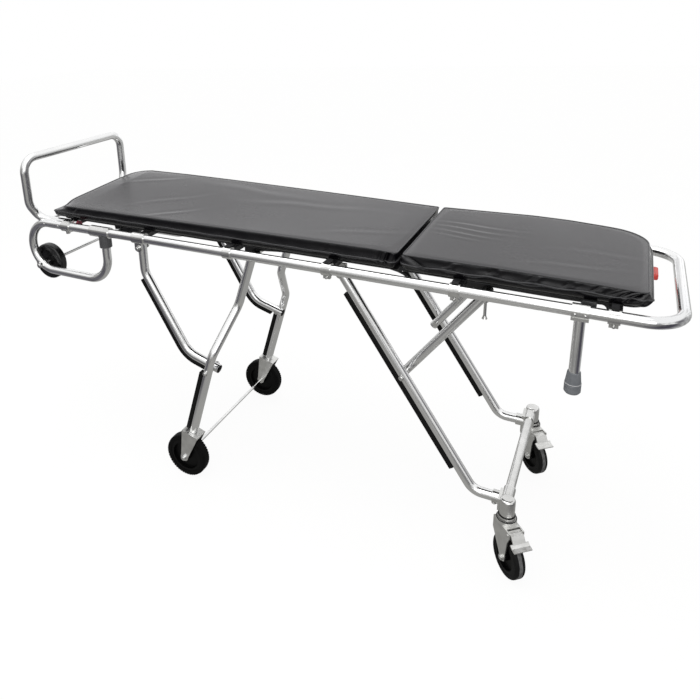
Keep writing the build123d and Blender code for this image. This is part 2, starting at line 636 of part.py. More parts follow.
def make_front_legs():
    plane = fork_frame()
    foot = lower_leg(FRONT_AXLE[1] + (FORK_TOP + 0.6) * plane.y_dir.Z)
    top = beyond(LEG_SHOULDER, FRONT_SLIDE, 10)
    points = at_y([top, LEG_SHOULDER], -FRONT_TOP_Y) + [(LEG_KNEE[0], -KNEE_Y, LEG_KNEE[1]), foot]
    leg = bent_tube(points, [LEG_BEND, LEG_BEND])
    leg -= bore_through(*FRONT_SLIDE, -FRONT_TOP_Y, SLIDE_ROD_R)
    lx, lz = FRONT_LINK
    link_y = lower_leg(lz)[1]
    leg -= bore_through(lx, lz, link_y, LINK_R)
    nodes["front_leg_near"] = leg
    nodes["front_leg_far"] = mirrored(leg)
    nodes["front_leg_strips"] = pair(bumper_strip([lower_leg(lz - 12), lower_leg(foot[2] + 6)]))
    cheek_gap = FRONT_WHEEL_WIDTH / 2 + FORK_PLAY
    fork_out = cheek_gap + FORK_PLATE
    top_half, foot_half = FORK_TOP_HALF, FORK_FOOT_HALF
    corners = (-top_half, FORK_TOP), (top_half, FORK_TOP), (foot_half, 2), (-foot_half, 2)
    cheek = Polygon(*corners, align=None) + Circle(foot_half + 1)
    fork = Part()
    for start in (cheek_gap, -fork_out):
        fork += extrude(plane.offset(start) * cheek, amount=FORK_PLATE, dir=(0, -1, 0))
    crown = Pos(0, FORK_TOP - FORK_PLATE / 2) * Rectangle(2 * top_half, FORK_PLATE)
    fork += extrude(plane.offset(-fork_out) * crown, amount=2 * fork_out, dir=(0, -1, 0))
    ax, az = FRONT_AXLE
    nodes["front_forks"] = pair(fork - bore_through(ax, az, -FRONT_WHEEL_Y, LINK_R, 2 * PIN_REACH))
    outer = FRONT_WHEEL_Y + fork_out + 0.2
    nodes["front_axle"] = bolt(ax, az, -outer, outer, LINK_R, BUSH_R, 6)
    nodes["front_slide_rod"] = slide_rod(FRONT_SLIDE, FRONT_TOP_Y)
    nodes["front_rollers"] = rollers(FRONT_SLIDE)
    pin = bolt(lx, lz, link_y - TUBE_R - 0.2, -BRACE_Y + TUBE_R + 1, LINK_R, LINK_HEAD_R, LINK_HEAD)
    bush = rod((lx, link_y + TUBE_R + 0.6, lz), (lx, -BRACE_Y - TUBE_R - 1, lz), BUSH_R)
    nodes["front_link_bolts"] = pair(pin + bush)
    tyre = wheel_tyre(FRONT_WHEEL_R, FRONT_RIM_R + GAP, FRONT_WHEEL_WIDTH, 7)
    hub = wheel_hub(FRONT_RIM_R, FRONT_WHEEL_WIDTH, LINK_R + GAP, 16, FRONT_WHEEL_WIDTH + FORK_PLAY, 12)
    for side, y in (("near", -FRONT_WHEEL_Y), ("far", FRONT_WHEEL_Y)):
        place = Plane(origin=(ax, y, az), z_dir=(0, 1, 0))
        nodes[f"front_tyre_{side}"] = place * tyre
        nodes[f"front_hub_{side}"] = place * hub


def make_rear_legs():
    top = beyond(REAR_LINK, REAR_PIVOT, 8)
    points = [top, REAR_HEEL, (REAR_TOE_X, REAR_HEEL[1])]
    leg = bent_tube(at_y(points, -REAR_LEG_Y), [REAR_BEND])
    px, pz = REAR_PIVOT
    lx, lz = REAR_LINK
    leg -= bore_through(px, pz, -REAR_LEG_Y, PIN_R)
    leg -= bore_through(lx, lz, -REAR_LEG_Y, LINK_R)
    nodes["rear_leg_near"] = leg
    nodes["rear_leg_far"] = mirrored(leg)
    ends = [at_height(REAR_PIVOT, REAR_HEEL, z) for z in REAR_STRIP_ENDS]
    nodes["rear_leg_strips"] = pair(bumper_strip(at_y(ends, -REAR_LEG_Y)))
    inner = -REAR_LEG_Y + TUBE_R + 1.5
    outer = -REAR_LEG_Y - TUBE_R - 1
    ear = Pos(px, pz) * Circle(EAR_R) + Pos(px - EAR_R, BAR_LOW - 8) * Rectangle(44, 16)
    bracket = cut_from_xz(ear, inner, inner + EAR_PLATE)
    bracket += rod((px, outer, pz), (px, inner, pz), PIN_R)
    bracket += rod((px, outer - 4, pz), (px, outer, pz), BUSH_R)
    nodes["rear_pivot_brackets"] = pair(bracket)
    outer, inner = -REAR_LEG_Y - TUBE_R - 0.2, -REAR_BRACE_Y + BRACE_R + 1
    pin = bolt(lx, lz, outer, inner, LINK_R, LINK_HEAD_R, LINK_HEAD)
    bush = rod((lx, -REAR_LEG_Y + TUBE_R + 0.3, lz), (lx, -REAR_BRACE_Y - BRACE_R - 1, lz), BUSH_R)
    nodes["rear_link_bolts"] = pair(pin + bush)


def make_rear_braces():
    tail = beyond(REAR_SLIDE, REAR_LINK, 16)
    top = beyond(REAR_LINK, REAR_SLIDE, 18)
    brace = straight_tube((tail[0], -REAR_BRACE_Y, tail[1]), (top[0], -REAR_BRACE_Y, top[1]), BRACE_R)
    for (x, z), radius in ((REAR_LINK, LINK_R), (REAR_SLIDE, SLIDE_ROD_R)):
        brace -= bore_through(x, z, -REAR_BRACE_Y, radius)
    nodes["rear_braces"] = pair(brace)
    nodes["rear_slide_rod"] = slide_rod(REAR_SLIDE, REAR_BRACE_Y)
    nodes["rear_rollers"] = rollers(REAR_SLIDE)


def stand_lift():
    """Rise of every piece after the tilt, which sets the front wheels on the floor."""
    tilt = radians(TILT)
    return FRONT_WHEEL_R - (FRONT_AXLE[1] * cos(tilt) - FRONT_AXLE[0] * sin(tilt))


def castor_lift():
    """Height of the castors' floor in the level frame, so that they stand on the floor after the tilt."""
    tilt = radians(TILT)
    wheel_x = CASTOR_X + CASTOR_TRAIL * cos(radians(CASTOR_TURN))
    return (CASTOR_R - stand_lift() + wheel_x * sin(tilt)) / cos(tilt) - CASTOR_R


def make_castings():
    toe_z = REAR_HEEL[1]
    low = castor_lift() + CASTOR_HEAD_Z
    housing = rod((CASTOR_X, -CASTOR_Y, low), (CASTOR_X, -CASTOR_Y, CASTING_TOP), HOUSING_R)
    housing = fillet(housing.edges().group_by(Axis.Z)[-1], 8)
    socket = rod((REAR_TOE_X - 16, -REAR_LEG_Y, toe_z), (CASTOR_X, -REAR_LEG_Y, toe_z), SOCKET_R)
    arm_x = CASTOR_X - 4
    arm = rod((arm_x, -CASTOR_Y, CROSS_TUBE_Z), (arm_x, -ARM_END_Y, CROSS_TUBE_Z), ARM_R)
    block_low = (REAR_TOE_X + 2, -CASTOR_Y, toe_z - 12)
    block = slab(block_low, (CASTOR_X + 10, -REAR_LEG_Y + 14, CROSS_TUBE_Z + 6))
    casting = housing + socket + arm + block
    casting -= rod((REAR_TOE_X - 20, -REAR_LEG_Y, toe_z), (REAR_TOE_X + 0.2, -REAR_LEG_Y, toe_z), TUBE_R + GAP)
    socket_end = -CROSS_TUBE_Y - 0.2
    casting -= rod((arm_x, socket_end, CROSS_TUBE_Z), (arm_x, 8 - ARM_END_Y, CROSS_TUBE_Z), BRACE_R + GAP)
    casting -= rod((CASTOR_X, -CASTOR_Y, 0), (CASTOR_X, -CASTOR_Y, low + STEM_RISE + 2), STEM_R + GAP)
    nodes["castor_castings"] = pair(casting)
    ends = (arm_x, -CROSS_TUBE_Y, CROSS_TUBE_Z), (arm_x, CROSS_TUBE_Y, CROSS_TUBE_Z)
    nodes["castor_cross_tube"] = straight_tube(*ends, BRACE_R)


def make_castors():
    """Castors are drawn with the swivel axis on Z and the wheel trailing along +X, then turned into place."""
    cheek = CASTOR_WIDTH / 2 + CASTOR_PLAY
    plate = CASTOR_PLATE
    crown, head = CASTOR_CROWN_Z, CASTOR_HEAD_Z
    axle = (CASTOR_TRAIL, CASTOR_R)
    outline = Polygon(*CASTOR_CHEEK, align=None)
    outline += Pos(*axle) * Circle(11)
    fork = Part()
    for y in (-cheek - plate, cheek):
        fork += cut_from_xz(outline, y, y + plate)
    fork += slab((-26, -cheek - plate, crown), (32, cheek + plate, crown + 4))
    for rise, radius in RACE_RINGS:
        fork += rod((0, 0, crown + 4), (0, 0, crown + rise), radius)
    fork += rod((0, 0, crown + 4), (0, 0, head + STEM_RISE), STEM_R)
    pin_x, pin_z = PEDAL_PIN
    fork += bolt(*axle, -cheek - plate, cheek + plate, CASTOR_AXLE_R, LINK_HEAD_R, 4)
    fork += rod((pin_x, -cheek - plate, pin_z), (pin_x, cheek + plate, pin_z), PEDAL_PIN_R)
    rim = CASTOR_R - 13
    tyre = wheel_tyre(CASTOR_R, rim + GAP, CASTOR_WIDTH, 8)
    hub = wheel_hub(rim, CASTOR_WIDTH, CASTOR_AXLE_R + GAP, 12, CASTOR_WIDTH + 3, 12)
    wheel_place = Plane(origin=(axle[0], 0, axle[1]), z_dir=(0, 1, 0))
    inner = cheek - 0.6
    pedal = cut_from_xz(Polygon(*PEDAL_TOP, align=None), -inner, inner)
    pedal += cut_from_xz(Polygon(*PEDAL_LIP, align=None), -inner - PEDAL_LIP_OUT, inner + PEDAL_LIP_OUT)
    pedal += rod((pin_x, -inner, pin_z), (pin_x, inner, pin_z), PEDAL_BARREL_R)
    pedal -= bore_through(pin_x, pin_z, 0, PEDAL_PIN_R, 2 * PIN_REACH)
    for side, y in (("near", -CASTOR_Y), ("far", CASTOR_Y)):
        place = Pos(CASTOR_X, y, castor_lift()) * Rot(0, 0, CASTOR_TURN)
        nodes[f"castor_fork_{side}"] = place * fork
        nodes[f"castor_tyre_{side}"] = place * (wheel_place * tyre)
        nodes[f"castor_hub_{side}"] = place * (wheel_place * hub)
        nodes[f"brake_pedal_{side}"] = place * pedal


def make_locks():
    x, y, low = PLUNGER_X, -TRACK_Y, REAR_SLIDE[1] - TRACK_HALF
    housing = rod((x, y, low - 14), (x, y, low - 0.2), PLUNGER_HOUSING_R)
    housing -= rod((x, y, low - 30), (x, y, low - 4), PLUNGER_R + GAP)
    nodes["plunger_housing"] = housing
    foot = low - PLUNGER_DROP
    knob_r, neck_r, knob = KNOB
    plunger = rod((x, y, foot), (x, y, low - 5), PLUNGER_R)
    plunger += Pos(x, y, foot + knob / 2 - 1) * Cone(knob_r, neck_r, knob)
    nodes["lock_plunger"] = plunger
    bar_x, bar_y, bar_z = CLAMP_XS[-1], RELEASE_Y, RAIL_Z - 13
    guide = slab((bar_x - 14, bar_y - 10, bar_z - 10), (bar_x + 14, bar_y + 10, BAR_LOW))
    guide -= rod((bar_x - 20, bar_y, bar_z), (bar_x + 20, bar_y, bar_z), RELEASE_R + GAP)
    nodes["release_guide"] = guide
    deep, wide, high = RELEASE_GRIP
    grip_x, grip_low = RELEASE_END_X - deep, bar_z - 9
    pull = rod((bar_x - 50, bar_y, bar_z), (grip_x + 4, bar_y, bar_z), RELEASE_R)
    grip = slab((grip_x, bar_y - wide / 2, grip_low), (RELEASE_END_X, bar_y + wide / 2, grip_low + high))
    nodes["release_handle"] = pull + fillet(grip.edges(), 5)


make_frame_tubes()
make_loading_end()
make_push_handle()
make_clamps_and_bars()
make_deck()
make_support_posts()
make_tracks()
make_front_braces()
make_front_legs()
make_rear_legs()
make_rear_braces()
make_castings()
make_castors()
make_locks()

os.makedirs("parts", exist_ok=True)
stand = Pos(CENTRE_X, 0, stand_lift()) * Rot(0, TILT, 0)
for name, shape in nodes.items():
    pieces = [stand * solid for solid in shape.solids()]
    export_step(pieces[0] if len(pieces) == 1 else group(pieces), f"parts/{name}.step")
front_ratio = 1 + second_turn(FRONT_PIVOT, FRONT_LINK, FRONT_SLIDE, FRONT_FOLD) / FRONT_FOLD
rear_ratio = 1 + second_turn(REAR_PIVOT, REAR_LINK, REAR_SLIDE, REAR_FOLD) / REAR_FOLD
print(len(nodes), "nodes")
print("second bars turn", round(front_ratio, 4), "and", round(rear_ratio, 4), "times the first")
print("stand lift", round(stand_lift(), 4), "castor lift", round(castor_lift(), 4))
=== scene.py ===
# %% [markdown]
# # Dressing a roll-in mortuary cot
# The cot comes from CAD as bare solids: bright tubes, black brackets, wheels and two plain pads. This
# lesson gives every surface its finish and sews the two mattress pads. Nothing of the metalwork is moved:
# the frame is loaded once, and each new piece is put where the frame says.

# %% Load the fixed frame
import json
import math

import bmesh
import bpy
import numpy as np
from mathutils import Matrix, Vector


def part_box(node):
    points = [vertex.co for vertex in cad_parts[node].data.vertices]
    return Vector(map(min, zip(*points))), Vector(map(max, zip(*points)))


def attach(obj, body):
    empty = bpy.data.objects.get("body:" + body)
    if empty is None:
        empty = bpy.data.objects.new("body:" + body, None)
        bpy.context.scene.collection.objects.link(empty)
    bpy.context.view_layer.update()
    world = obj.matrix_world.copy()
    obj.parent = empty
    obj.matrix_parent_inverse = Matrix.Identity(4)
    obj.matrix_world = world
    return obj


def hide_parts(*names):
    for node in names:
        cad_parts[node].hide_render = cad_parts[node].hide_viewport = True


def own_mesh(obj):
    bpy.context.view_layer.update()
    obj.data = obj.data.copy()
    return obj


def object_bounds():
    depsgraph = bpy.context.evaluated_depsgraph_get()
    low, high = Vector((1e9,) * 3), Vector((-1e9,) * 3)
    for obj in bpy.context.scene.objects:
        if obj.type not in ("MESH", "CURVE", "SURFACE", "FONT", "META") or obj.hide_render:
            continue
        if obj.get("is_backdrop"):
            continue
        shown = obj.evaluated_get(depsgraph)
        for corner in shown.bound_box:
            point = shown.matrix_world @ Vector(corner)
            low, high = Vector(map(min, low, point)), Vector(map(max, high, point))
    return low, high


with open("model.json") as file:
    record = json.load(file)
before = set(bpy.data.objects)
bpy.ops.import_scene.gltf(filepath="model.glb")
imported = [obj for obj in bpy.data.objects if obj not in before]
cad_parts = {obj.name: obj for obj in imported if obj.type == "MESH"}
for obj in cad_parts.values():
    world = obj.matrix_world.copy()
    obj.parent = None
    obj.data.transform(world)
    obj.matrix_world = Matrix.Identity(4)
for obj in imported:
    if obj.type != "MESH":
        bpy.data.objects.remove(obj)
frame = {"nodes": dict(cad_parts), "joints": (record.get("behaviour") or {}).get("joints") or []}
cad_low, cad_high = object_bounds()
scene = bpy.context.scene
nodes = frame["nodes"]


def linked(name, data):
    """A new object in the scene."""
    made = bpy.data.objects.new(name, data)
    scene.collection.objects.link(made)
    return made


# %% [markdown]
# The cot stands with its rails sloping a little down to the operator's end. Drawing is easier with level
# rails, so places below are written in the level frame, in metres or, for small fittings, in millimetres,
# and one matrix stands them up as the CAD does.

# %% Level frame to standing frame
TILT = math.radians(1.2)
CENTRE_X = -0.0047
FRONT_AXLE = (-0.372, 0.075)
STAND_LIFT = FRONT_AXLE[1] - (FRONT_AXLE[1] * math.cos(TILT) - FRONT_AXLE[0] * math.sin(TILT))
STAND = Matrix.Translation((CENTRE_X, 0, STAND_LIFT)) @ Matrix.Rotation(TILT, 4, "Y")


def stood_ways(ways):
    """Directions of the level frame on the standing cot."""
    return np.asarray(ways) @ np.array(STAND.to_3x3()).T


def stood_array(points):
    """Places of level-frame points on the standing cot."""
    return stood_ways(points) + np.array(STAND.translation)


print("rails slope", round(math.degrees(TILT), 2), "degrees; lift", round(STAND_LIFT * 1000, 2), "mm")

# %% [markdown]
# The camera repeats the photographer's place: above the pads, well to the operator's side. Its lens is
# shifted, because the picture is a crop of a larger frame.

# %% Camera
EYE = Vector((0.81878, -1.74985, 1.50833))
LOOK_RIGHT = Vector((0.88781, 0.45915, -0.03125))
LOOK_DOWN = Vector((0.11044, -0.27849, -0.95407))
LOOK_AHEAD = Vector((-0.44676, 0.84358, -0.29795))
optics = bpy.data.cameras.new("camera")
optics.sensor_width = 36.0
optics.lens = 34.02
optics.shift_x = 0.0912
optics.shift_y = -0.2027
optics.clip_start, optics.clip_end = 0.05, 60.0
camera = linked("camera", optics)
axes = Matrix((LOOK_RIGHT, -LOOK_DOWN, -LOOK_AHEAD)).transposed().to_4x4()
camera.matrix_world = STAND @ Matrix.Translation(EYE) @ axes
scene.camera = camera
print("camera at", tuple(round(v, 3) for v in camera.matrix_world.translation))

# %% [markdown]
# Materials are sums of maps. To write such a sum as plain Python, a socket is wrapped in a small class
# whose operators add Math nodes. One method makes every other node from its type, its inputs and its
# settings. The same wiring serves the materials, the room's light and, further down, the Geometry Nodes
# trees.


# %% Node wiring
def operator(operation):
    """A method that joins two values by a Math node."""
    return lambda term, other: term.wiring.math(operation, term, other)


class Term:
    """A socket of one node tree, which takes part in sums."""

    __add__ = __radd__ = operator("ADD")
    __sub__ = operator("SUBTRACT")
    __mul__ = __rmul__ = operator("MULTIPLY")
    __gt__ = operator("GREATER_THAN")
    __lt__ = operator("LESS_THAN")

    def __init__(self, wiring, socket):
        self.wiring = wiring
        self.socket = socket


class Wiring:
    """A node tree under construction."""

    def __init__(self, tree):
        self.tree = tree

    def feed(self, socket, value):
        """Link a Term to a socket, or set a plain value; a colour gets its alpha."""
        if isinstance(value, Term):
            self.tree.links.new(value.socket, socket)
        else:
            socket.default_value = (*value, 1.0) if socket.type == "RGBA" else value

    def node(self, kind, inputs=None, output=0, **settings):
        """Any node: its settings first, then its sockets; gives one output as a Term."""
        made = self.tree.nodes.new(kind)
        for key, value in settings.items():
            setattr(made, key, value)
        for key, value in (inputs or {}).items():
            self.feed(made.inputs[key], value)
        return Term(self, made.outputs[output])

    def math(self, operation, *values):
        return self.node("ShaderNodeMath", dict(enumerate(values)), operation=operation)

    def vectors(self, operation, inputs, output=0):
        return self.node("ShaderNodeVectorMath", inputs, output, operation=operation)

    def part(self, vector, axis):
        return self.node("ShaderNodeSeparateXYZ", {0: vector}, axis)

    def ray(self, kind):
        return self.node("ShaderNodeLightPath", output=f"Is {kind} Ray")

    def ramped(self, value, low, high, start=0.0, end=1.0, way="SMOOTHSTEP"):
        """A value's range from low to high, drawn out to start and end."""
        inputs = {"Value": value, "From Min": low, "From Max": high, "To Min": start, "To Max": end}
        return self.node("ShaderNodeMapRange", inputs, interpolation_type=way)

    def ramp(self, factor, stops):
        """Colour ramp with stops of its own."""
        made = self.node("ShaderNodeValToRGB", {0: factor})
        elements = made.socket.node.color_ramp.elements
        elements.remove(elements[1])
        for number, (place, color) in enumerate(stops):
            stop = elements.new(place) if number else elements[0]
            stop.position = place
            stop.color = (*color, 1.0)
        return made

    def mix(self, factor, first, second):
        """Colour between two colours."""
        return self.node("ShaderNodeMix", {0: factor, 6: first, 7: second}, 2, data_type="RGBA")


NOISE_MIDDLE = (0.3, 0.7)


class Look(Wiring):
    """One material: a Principled shader, and the nodes that feed it."""

    def __init__(self, name, color, roughness, metallic=0.0, shine=0.5):
        self.material = bpy.data.materials.new(name)
        self.material.use_nodes = True
        super().__init__(self.material.node_tree)
        self.shader = self.tree.nodes["Principled BSDF"]
        self.output = self.tree.nodes["Material Output"]
        self.set("Base Color", color)
        self.set("Roughness", roughness)
        self.set("Metallic", metallic)
        self.set("Specular IOR Level", shine)
        self.material.diffuse_color = (*color, 1.0)
        self.place = self.node("ShaderNodeTexCoord", output="Object")

    def set(self, socket, value):
        self.feed(self.shader.inputs[socket], value)

    def noise(self, scale, detail=3.0, place=None, roughness=0.5):
        inputs = {"Vector": place or self.place, "Scale": scale, "Detail": detail, "Roughness": roughness}
        return self.node("ShaderNodeTexNoise", inputs)

    def cells(self, scale):
        return self.node("ShaderNodeTexVoronoi", {"Vector": self.place, "Scale": scale})

    def stretched(self, scale):
        """The place, stretched by one factor along each axis."""
        return self.node("ShaderNodeMapping", {"Vector": self.place, "Scale": scale})

    def patches(self, scale, detail, low=0.0, high=1.0):
        """Noise with its middle range drawn out to low and high."""
        return self.ramped(self.noise(scale, detail), *NOISE_MIDDLE, low, high, "LINEAR")

    def tint(self, factor, first, second):
        self.set("Base Color", self.mix(factor, first, second))

    def bump(self, height, strength, distance):
        inputs = {"Height": height, "Strength": strength, "Distance": distance}
        self.set("Normal", self.node("ShaderNodeBump", inputs))


def grey(value):
    return (value,) * 3


print("shader maths ready")

# %% [markdown]
# The tubes of such a cot are drawn aluminium, polished but never optically flat. A mirror would look
# computed, so the roughness wanders between glossy and satin, in wide smears and a fine grain.

# %% Metal looks
look = Look("polished_aluminium_tube", (0.86, 0.865, 0.87), 0.16, metallic=1.0)
smears = look.patches(7.0, 4.0)
grain = look.noise(160.0, 3.0)
look.set("Roughness", 0.10 + 0.07 * smears + 0.05 * grain)
look.tint(smears, (0.80, 0.805, 0.81), (0.90, 0.90, 0.895))
look.bump(grain, 0.04, 0.0003)
polished = look.material

look = Look("cast_aluminium", (0.70, 0.70, 0.69), 0.26, metallic=1.0)
sand = look.noise(900.0, 3.0)
stain = look.patches(26.0, 4.0)
look.set("Roughness", 0.13 + 0.08 * sand + 0.06 * stain)
look.tint(stain, (0.62, 0.62, 0.61), (0.78, 0.78, 0.77))
look.bump(sand, 0.06, 0.0004)
cast_metal = look.material

look = Look("zinc_plated_pressing", (0.68, 0.68, 0.665), 0.33, metallic=1.0)
spangle = look.cells(160.0)
dull = look.patches(40.0, 4.0)
look.tint(dull, (0.62, 0.62, 0.605), (0.76, 0.76, 0.745))
look.set("Roughness", 0.24 + 0.20 * spangle + 0.08 * dull)
look.bump(look.noise(700.0, 2.0), 0.06, 0.0004)
zinc = look.material

look = Look("bright_plated_steel", (0.70, 0.70, 0.69), 0.24, metallic=1.0)
turned = look.noise(600.0, 2.0, look.stretched((1.0, 0.1, 1.0)))
look.set("Roughness", 0.16 + 0.16 * turned)
look.bump(turned, 0.05, 0.0003)
bright_steel = look.material

look = Look("black_powder_coat", (0.018, 0.018, 0.019), 0.42)
peel = look.noise(520.0, 2.0)
rubbed = look.patches(30.0, 5.0)
look.tint(rubbed, (0.012, 0.012, 0.013), (0.034, 0.034, 0.036))
look.set("Roughness", 0.34 + 0.14 * rubbed)
look.bump(peel, 0.18, 0.0005)
powder_coat = look.material
print("metal looks:", [m.name for m in (polished, cast_metal, zinc, bright_steel, powder_coat)])

# %% [markdown]
# Rubber is never plain black: moulding leaves a fine bloom and the tread carries floor dust. The castor
# tyres carry a painted highlight, a paler band round the middle of the tread where the flat running
# surface catches the light. Its place along the wheel's axle is a dot product.


# %% Rubber and plastic looks
def rubber_look(name, color, dusty, roughness=0.62, shine=0.35):
    look = Look(name, color, roughness, shine=shine)
    dust = look.patches(55.0, 5.0)
    bloom = look.noise(1100.0, 2.0)
    look.tint(dust, color, dusty)
    look.set("Roughness", (roughness - 0.10) + 0.14 * dust + 0.06 * bloom)
    look.bump(bloom, 0.14, 0.0004)
    return look


def painted_band_tyre_look(name, centre, axle, band, tread_radius):
    """Black tyre with a painted highlight: a grey band round the middle of its tread."""
    look = rubber_look(name, grey(0.004), grey(0.008), shine=0.2)
    from_centre = look.vectors("SUBTRACT", {0: look.place, 1: centre})
    sideways = look.vectors("DOT_PRODUCT", {0: from_centre, 1: axle}, "Value")
    reach = look.vectors("LENGTH", {0: from_centre}, "Value")
    wander = (look.noise(70.0, 3.0) - 0.5) * 0.003
    on_band = (look.math("ABSOLUTE", sideways) + wander < band) * (reach > tread_radius)
    # Painted highlight: the band's grey stands in for light on the flat running surface, in patches.
    sheen_patches = look.patches(120.0, 4.0, 0.10, 0.20)
    pale = look.node("ShaderNodeCombineColor", {0: sheen_patches, 1: sheen_patches, 2: sheen_patches})
    look.tint(on_band, grey(0.005), pale)
    return look.material


def plastic_look(name, color, roughness, shine=0.5):
    look = Look(name, color, roughness, shine=shine)
    texture = look.noise(800.0, 2.0)
    tone = look.patches(35.0, 3.0)
    paler = tuple(min(1.0, c * 1.3 + 0.002) for c in color)
    look.tint(tone, color, paler)
    look.set("Roughness", roughness - 0.05 + 0.10 * texture)
    look.bump(texture, 0.10, 0.0003)
    return look.material


tyre_rubber = rubber_look("black_tyre_rubber", grey(0.002), grey(0.005), shine=0.1).material
strip_rubber = rubber_look("black_bumper_strip", grey(0.0025), grey(0.006), 0.5, 0.2).material
tip_rubber = rubber_look("grey_post_tip_rubber", (0.17, 0.18, 0.195), (0.23, 0.24, 0.255), 0.5).material
# Painted highlight: the pale rims of the post tips stand in for light on the flange's edge.
tip_highlight_rubber = rubber_look("pale_worn_rubber", (0.55, 0.55, 0.56), (0.70, 0.70, 0.70), 0.5).material
hub_plastic = plastic_look("black_hub_plastic", grey(0.002), 0.45, 0.12)
wheel_plastic = plastic_look("black_wheel_plastic", (0.005, 0.005, 0.0055), 0.30)
red_plastic = plastic_look("red_release_plastic", (0.78, 0.075, 0.06), 0.38)
dark_red_plastic = plastic_look("dark_red_plug_plastic", (0.15, 0.014, 0.030), 0.40)
collar_plastic = plastic_look("dark_grey_collar_plastic", (0.075, 0.076, 0.078), 0.44)
print("rubber and plastic looks made")

# %% [markdown]
# The pads wear black coated fabric. Up close it has a leather-like grain; from a step away only its sheen
# counts: at a flat angle it mirrors the pale room and looks grey, seen from the side it is nearly black.
# The shader does that by itself; a painted sheen, a paler colour on what faces up, does the rest.


# %% Coated fabric look
# Painted sheen: faces that point up are tinted paler, standing in for the pale room they mirror.
TOP_SHEEN = (0.0445, 0.0428, 0.0460)
TOP_SHEEN_FROM = (0.80, 0.98)


def vinyl_look(name, color, roughness):
    look = Look(name, color, roughness, shine=0.33)
    grain = look.cells(1400.0)
    fine = look.cells(3200.0)
    creases = look.noise(20.0, 4.0, look.stretched((0.5, 1.0, 1.0)), 0.55)
    sheen_patches = look.patches(7.0, 4.0)
    look.set("Roughness", roughness - 0.04 + 0.07 * sheen_patches + 0.04 * grain)
    upwards = look.part(look.node("ShaderNodeNewGeometry", output="Normal"), "Z")
    # Painted sheen on the top, a little patchy.
    top_sheen = look.ramped(upwards, *TOP_SHEEN_FROM) * (0.8 + 0.2 * sheen_patches)
    look.tint(top_sheen, color, TOP_SHEEN)
    look.bump(0.3 * grain + 0.15 * fine + 1.2 * creases, 0.14, 0.0010)
    return look.material


vinyl = vinyl_look("black_coated_fabric", (0.0024, 0.0021, 0.0034), 0.23)
# The welts' paler colour is a painted highlight along the seams.
welt_highlight_vinyl = vinyl_look("black_welt_fabric", (0.050, 0.050, 0.053), 0.28)
look = Look("black_thread", (0.03, 0.03, 0.032), 0.6)
twist = look.noise(1500.0, 2.0)
look.set("Roughness", 0.5 + 0.2 * twist)
look.bump(twist, 0.2, 0.0004)
thread = look.material
print("fabric looks made")

# %% [markdown]
# Most solids already have the right shape, so they only change their material. The table follows the
# cot's build: tubes, castings, plated pieces, black brackets, rubber and plastic.

# %% Dress the solids
SIDES = ("near", "far")


def both(*names):
    """Names of the near and the far one of each."""
    return [f"{name}_{side}" for name in names for side in SIDES]


dress = {
    polished: both("side_rail", "front_brace", "front_leg", "rear_leg") + [
        "end_loop", "loading_loops", "push_handle", "rear_braces", "support_posts", "handle_cross_rod",
        "loading_axle", "front_axle",
    ],
    cast_metal: ["castor_castings", "castor_cross_tube", "rail_clamps", "handle_clamps", "post_saddles"],
    zinc: both("castor_fork", "brake_pedal") + ["front_forks", "rear_pivot_brackets"],
    bright_steel: [
        "hinge_pins", "front_link_bolts", "rear_link_bolts", "front_slide_rod", "rear_slide_rod",
        "lock_plunger", "plunger_housing",
    ],
    powder_coat: ["cross_members", "deck_long", "deck_short", "release_guide", "slide_tracks"],
    collar_plastic: ["loop_collars"],
    tyre_rubber: both("front_tyre"),
    strip_rubber: ["front_brace_strips", "front_leg_strips", "rear_leg_strips"],
    tip_rubber: ["post_tips"],
    hub_plastic: both("front_hub", "castor_hub"),
    wheel_plastic: both("loading_wheel") + ["front_rollers", "rear_rollers"],
    red_plastic: ["release_handle"],
    dark_red_plastic: ["handle_end_plugs"],
}


def wear(obj, material):
    obj.data.materials.clear()
    obj.data.materials.append(material)


for material, names in dress.items():
    for name in names:
        wear(nodes[name], material)
joints = {joint["name"]: joint for joint in frame["joints"]}
STRIPE_HALF = 0.005
SHOULDER = 0.004
for side in SIDES:
    spin = joints[f"castor_{side}_spin"]
    low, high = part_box(f"castor_tyre_{side}")
    tread_radius = (high.z - low.z) / 2 - SHOULDER
    name = f"striped_castor_tyre_{side}"
    striped = painted_band_tyre_look(name, spin["pos_m"], spin["axis"], STRIPE_HALF, tread_radius)
    wear(nodes[f"castor_tyre_{side}"], striped)
print("dressed", sum(len(names) for names in dress.values()) + len(SIDES), "solids")

# %% [markdown]
# Each pad is a box cushion: a flat top panel, a side band in two halves with a seam between them, and a
# base. Its skin is drawn as rings that climb the side band, closed by two panels. A panel whose edge is a
# rounded rectangle fills evenly with quads if every inner point is blended from the four edge lines.

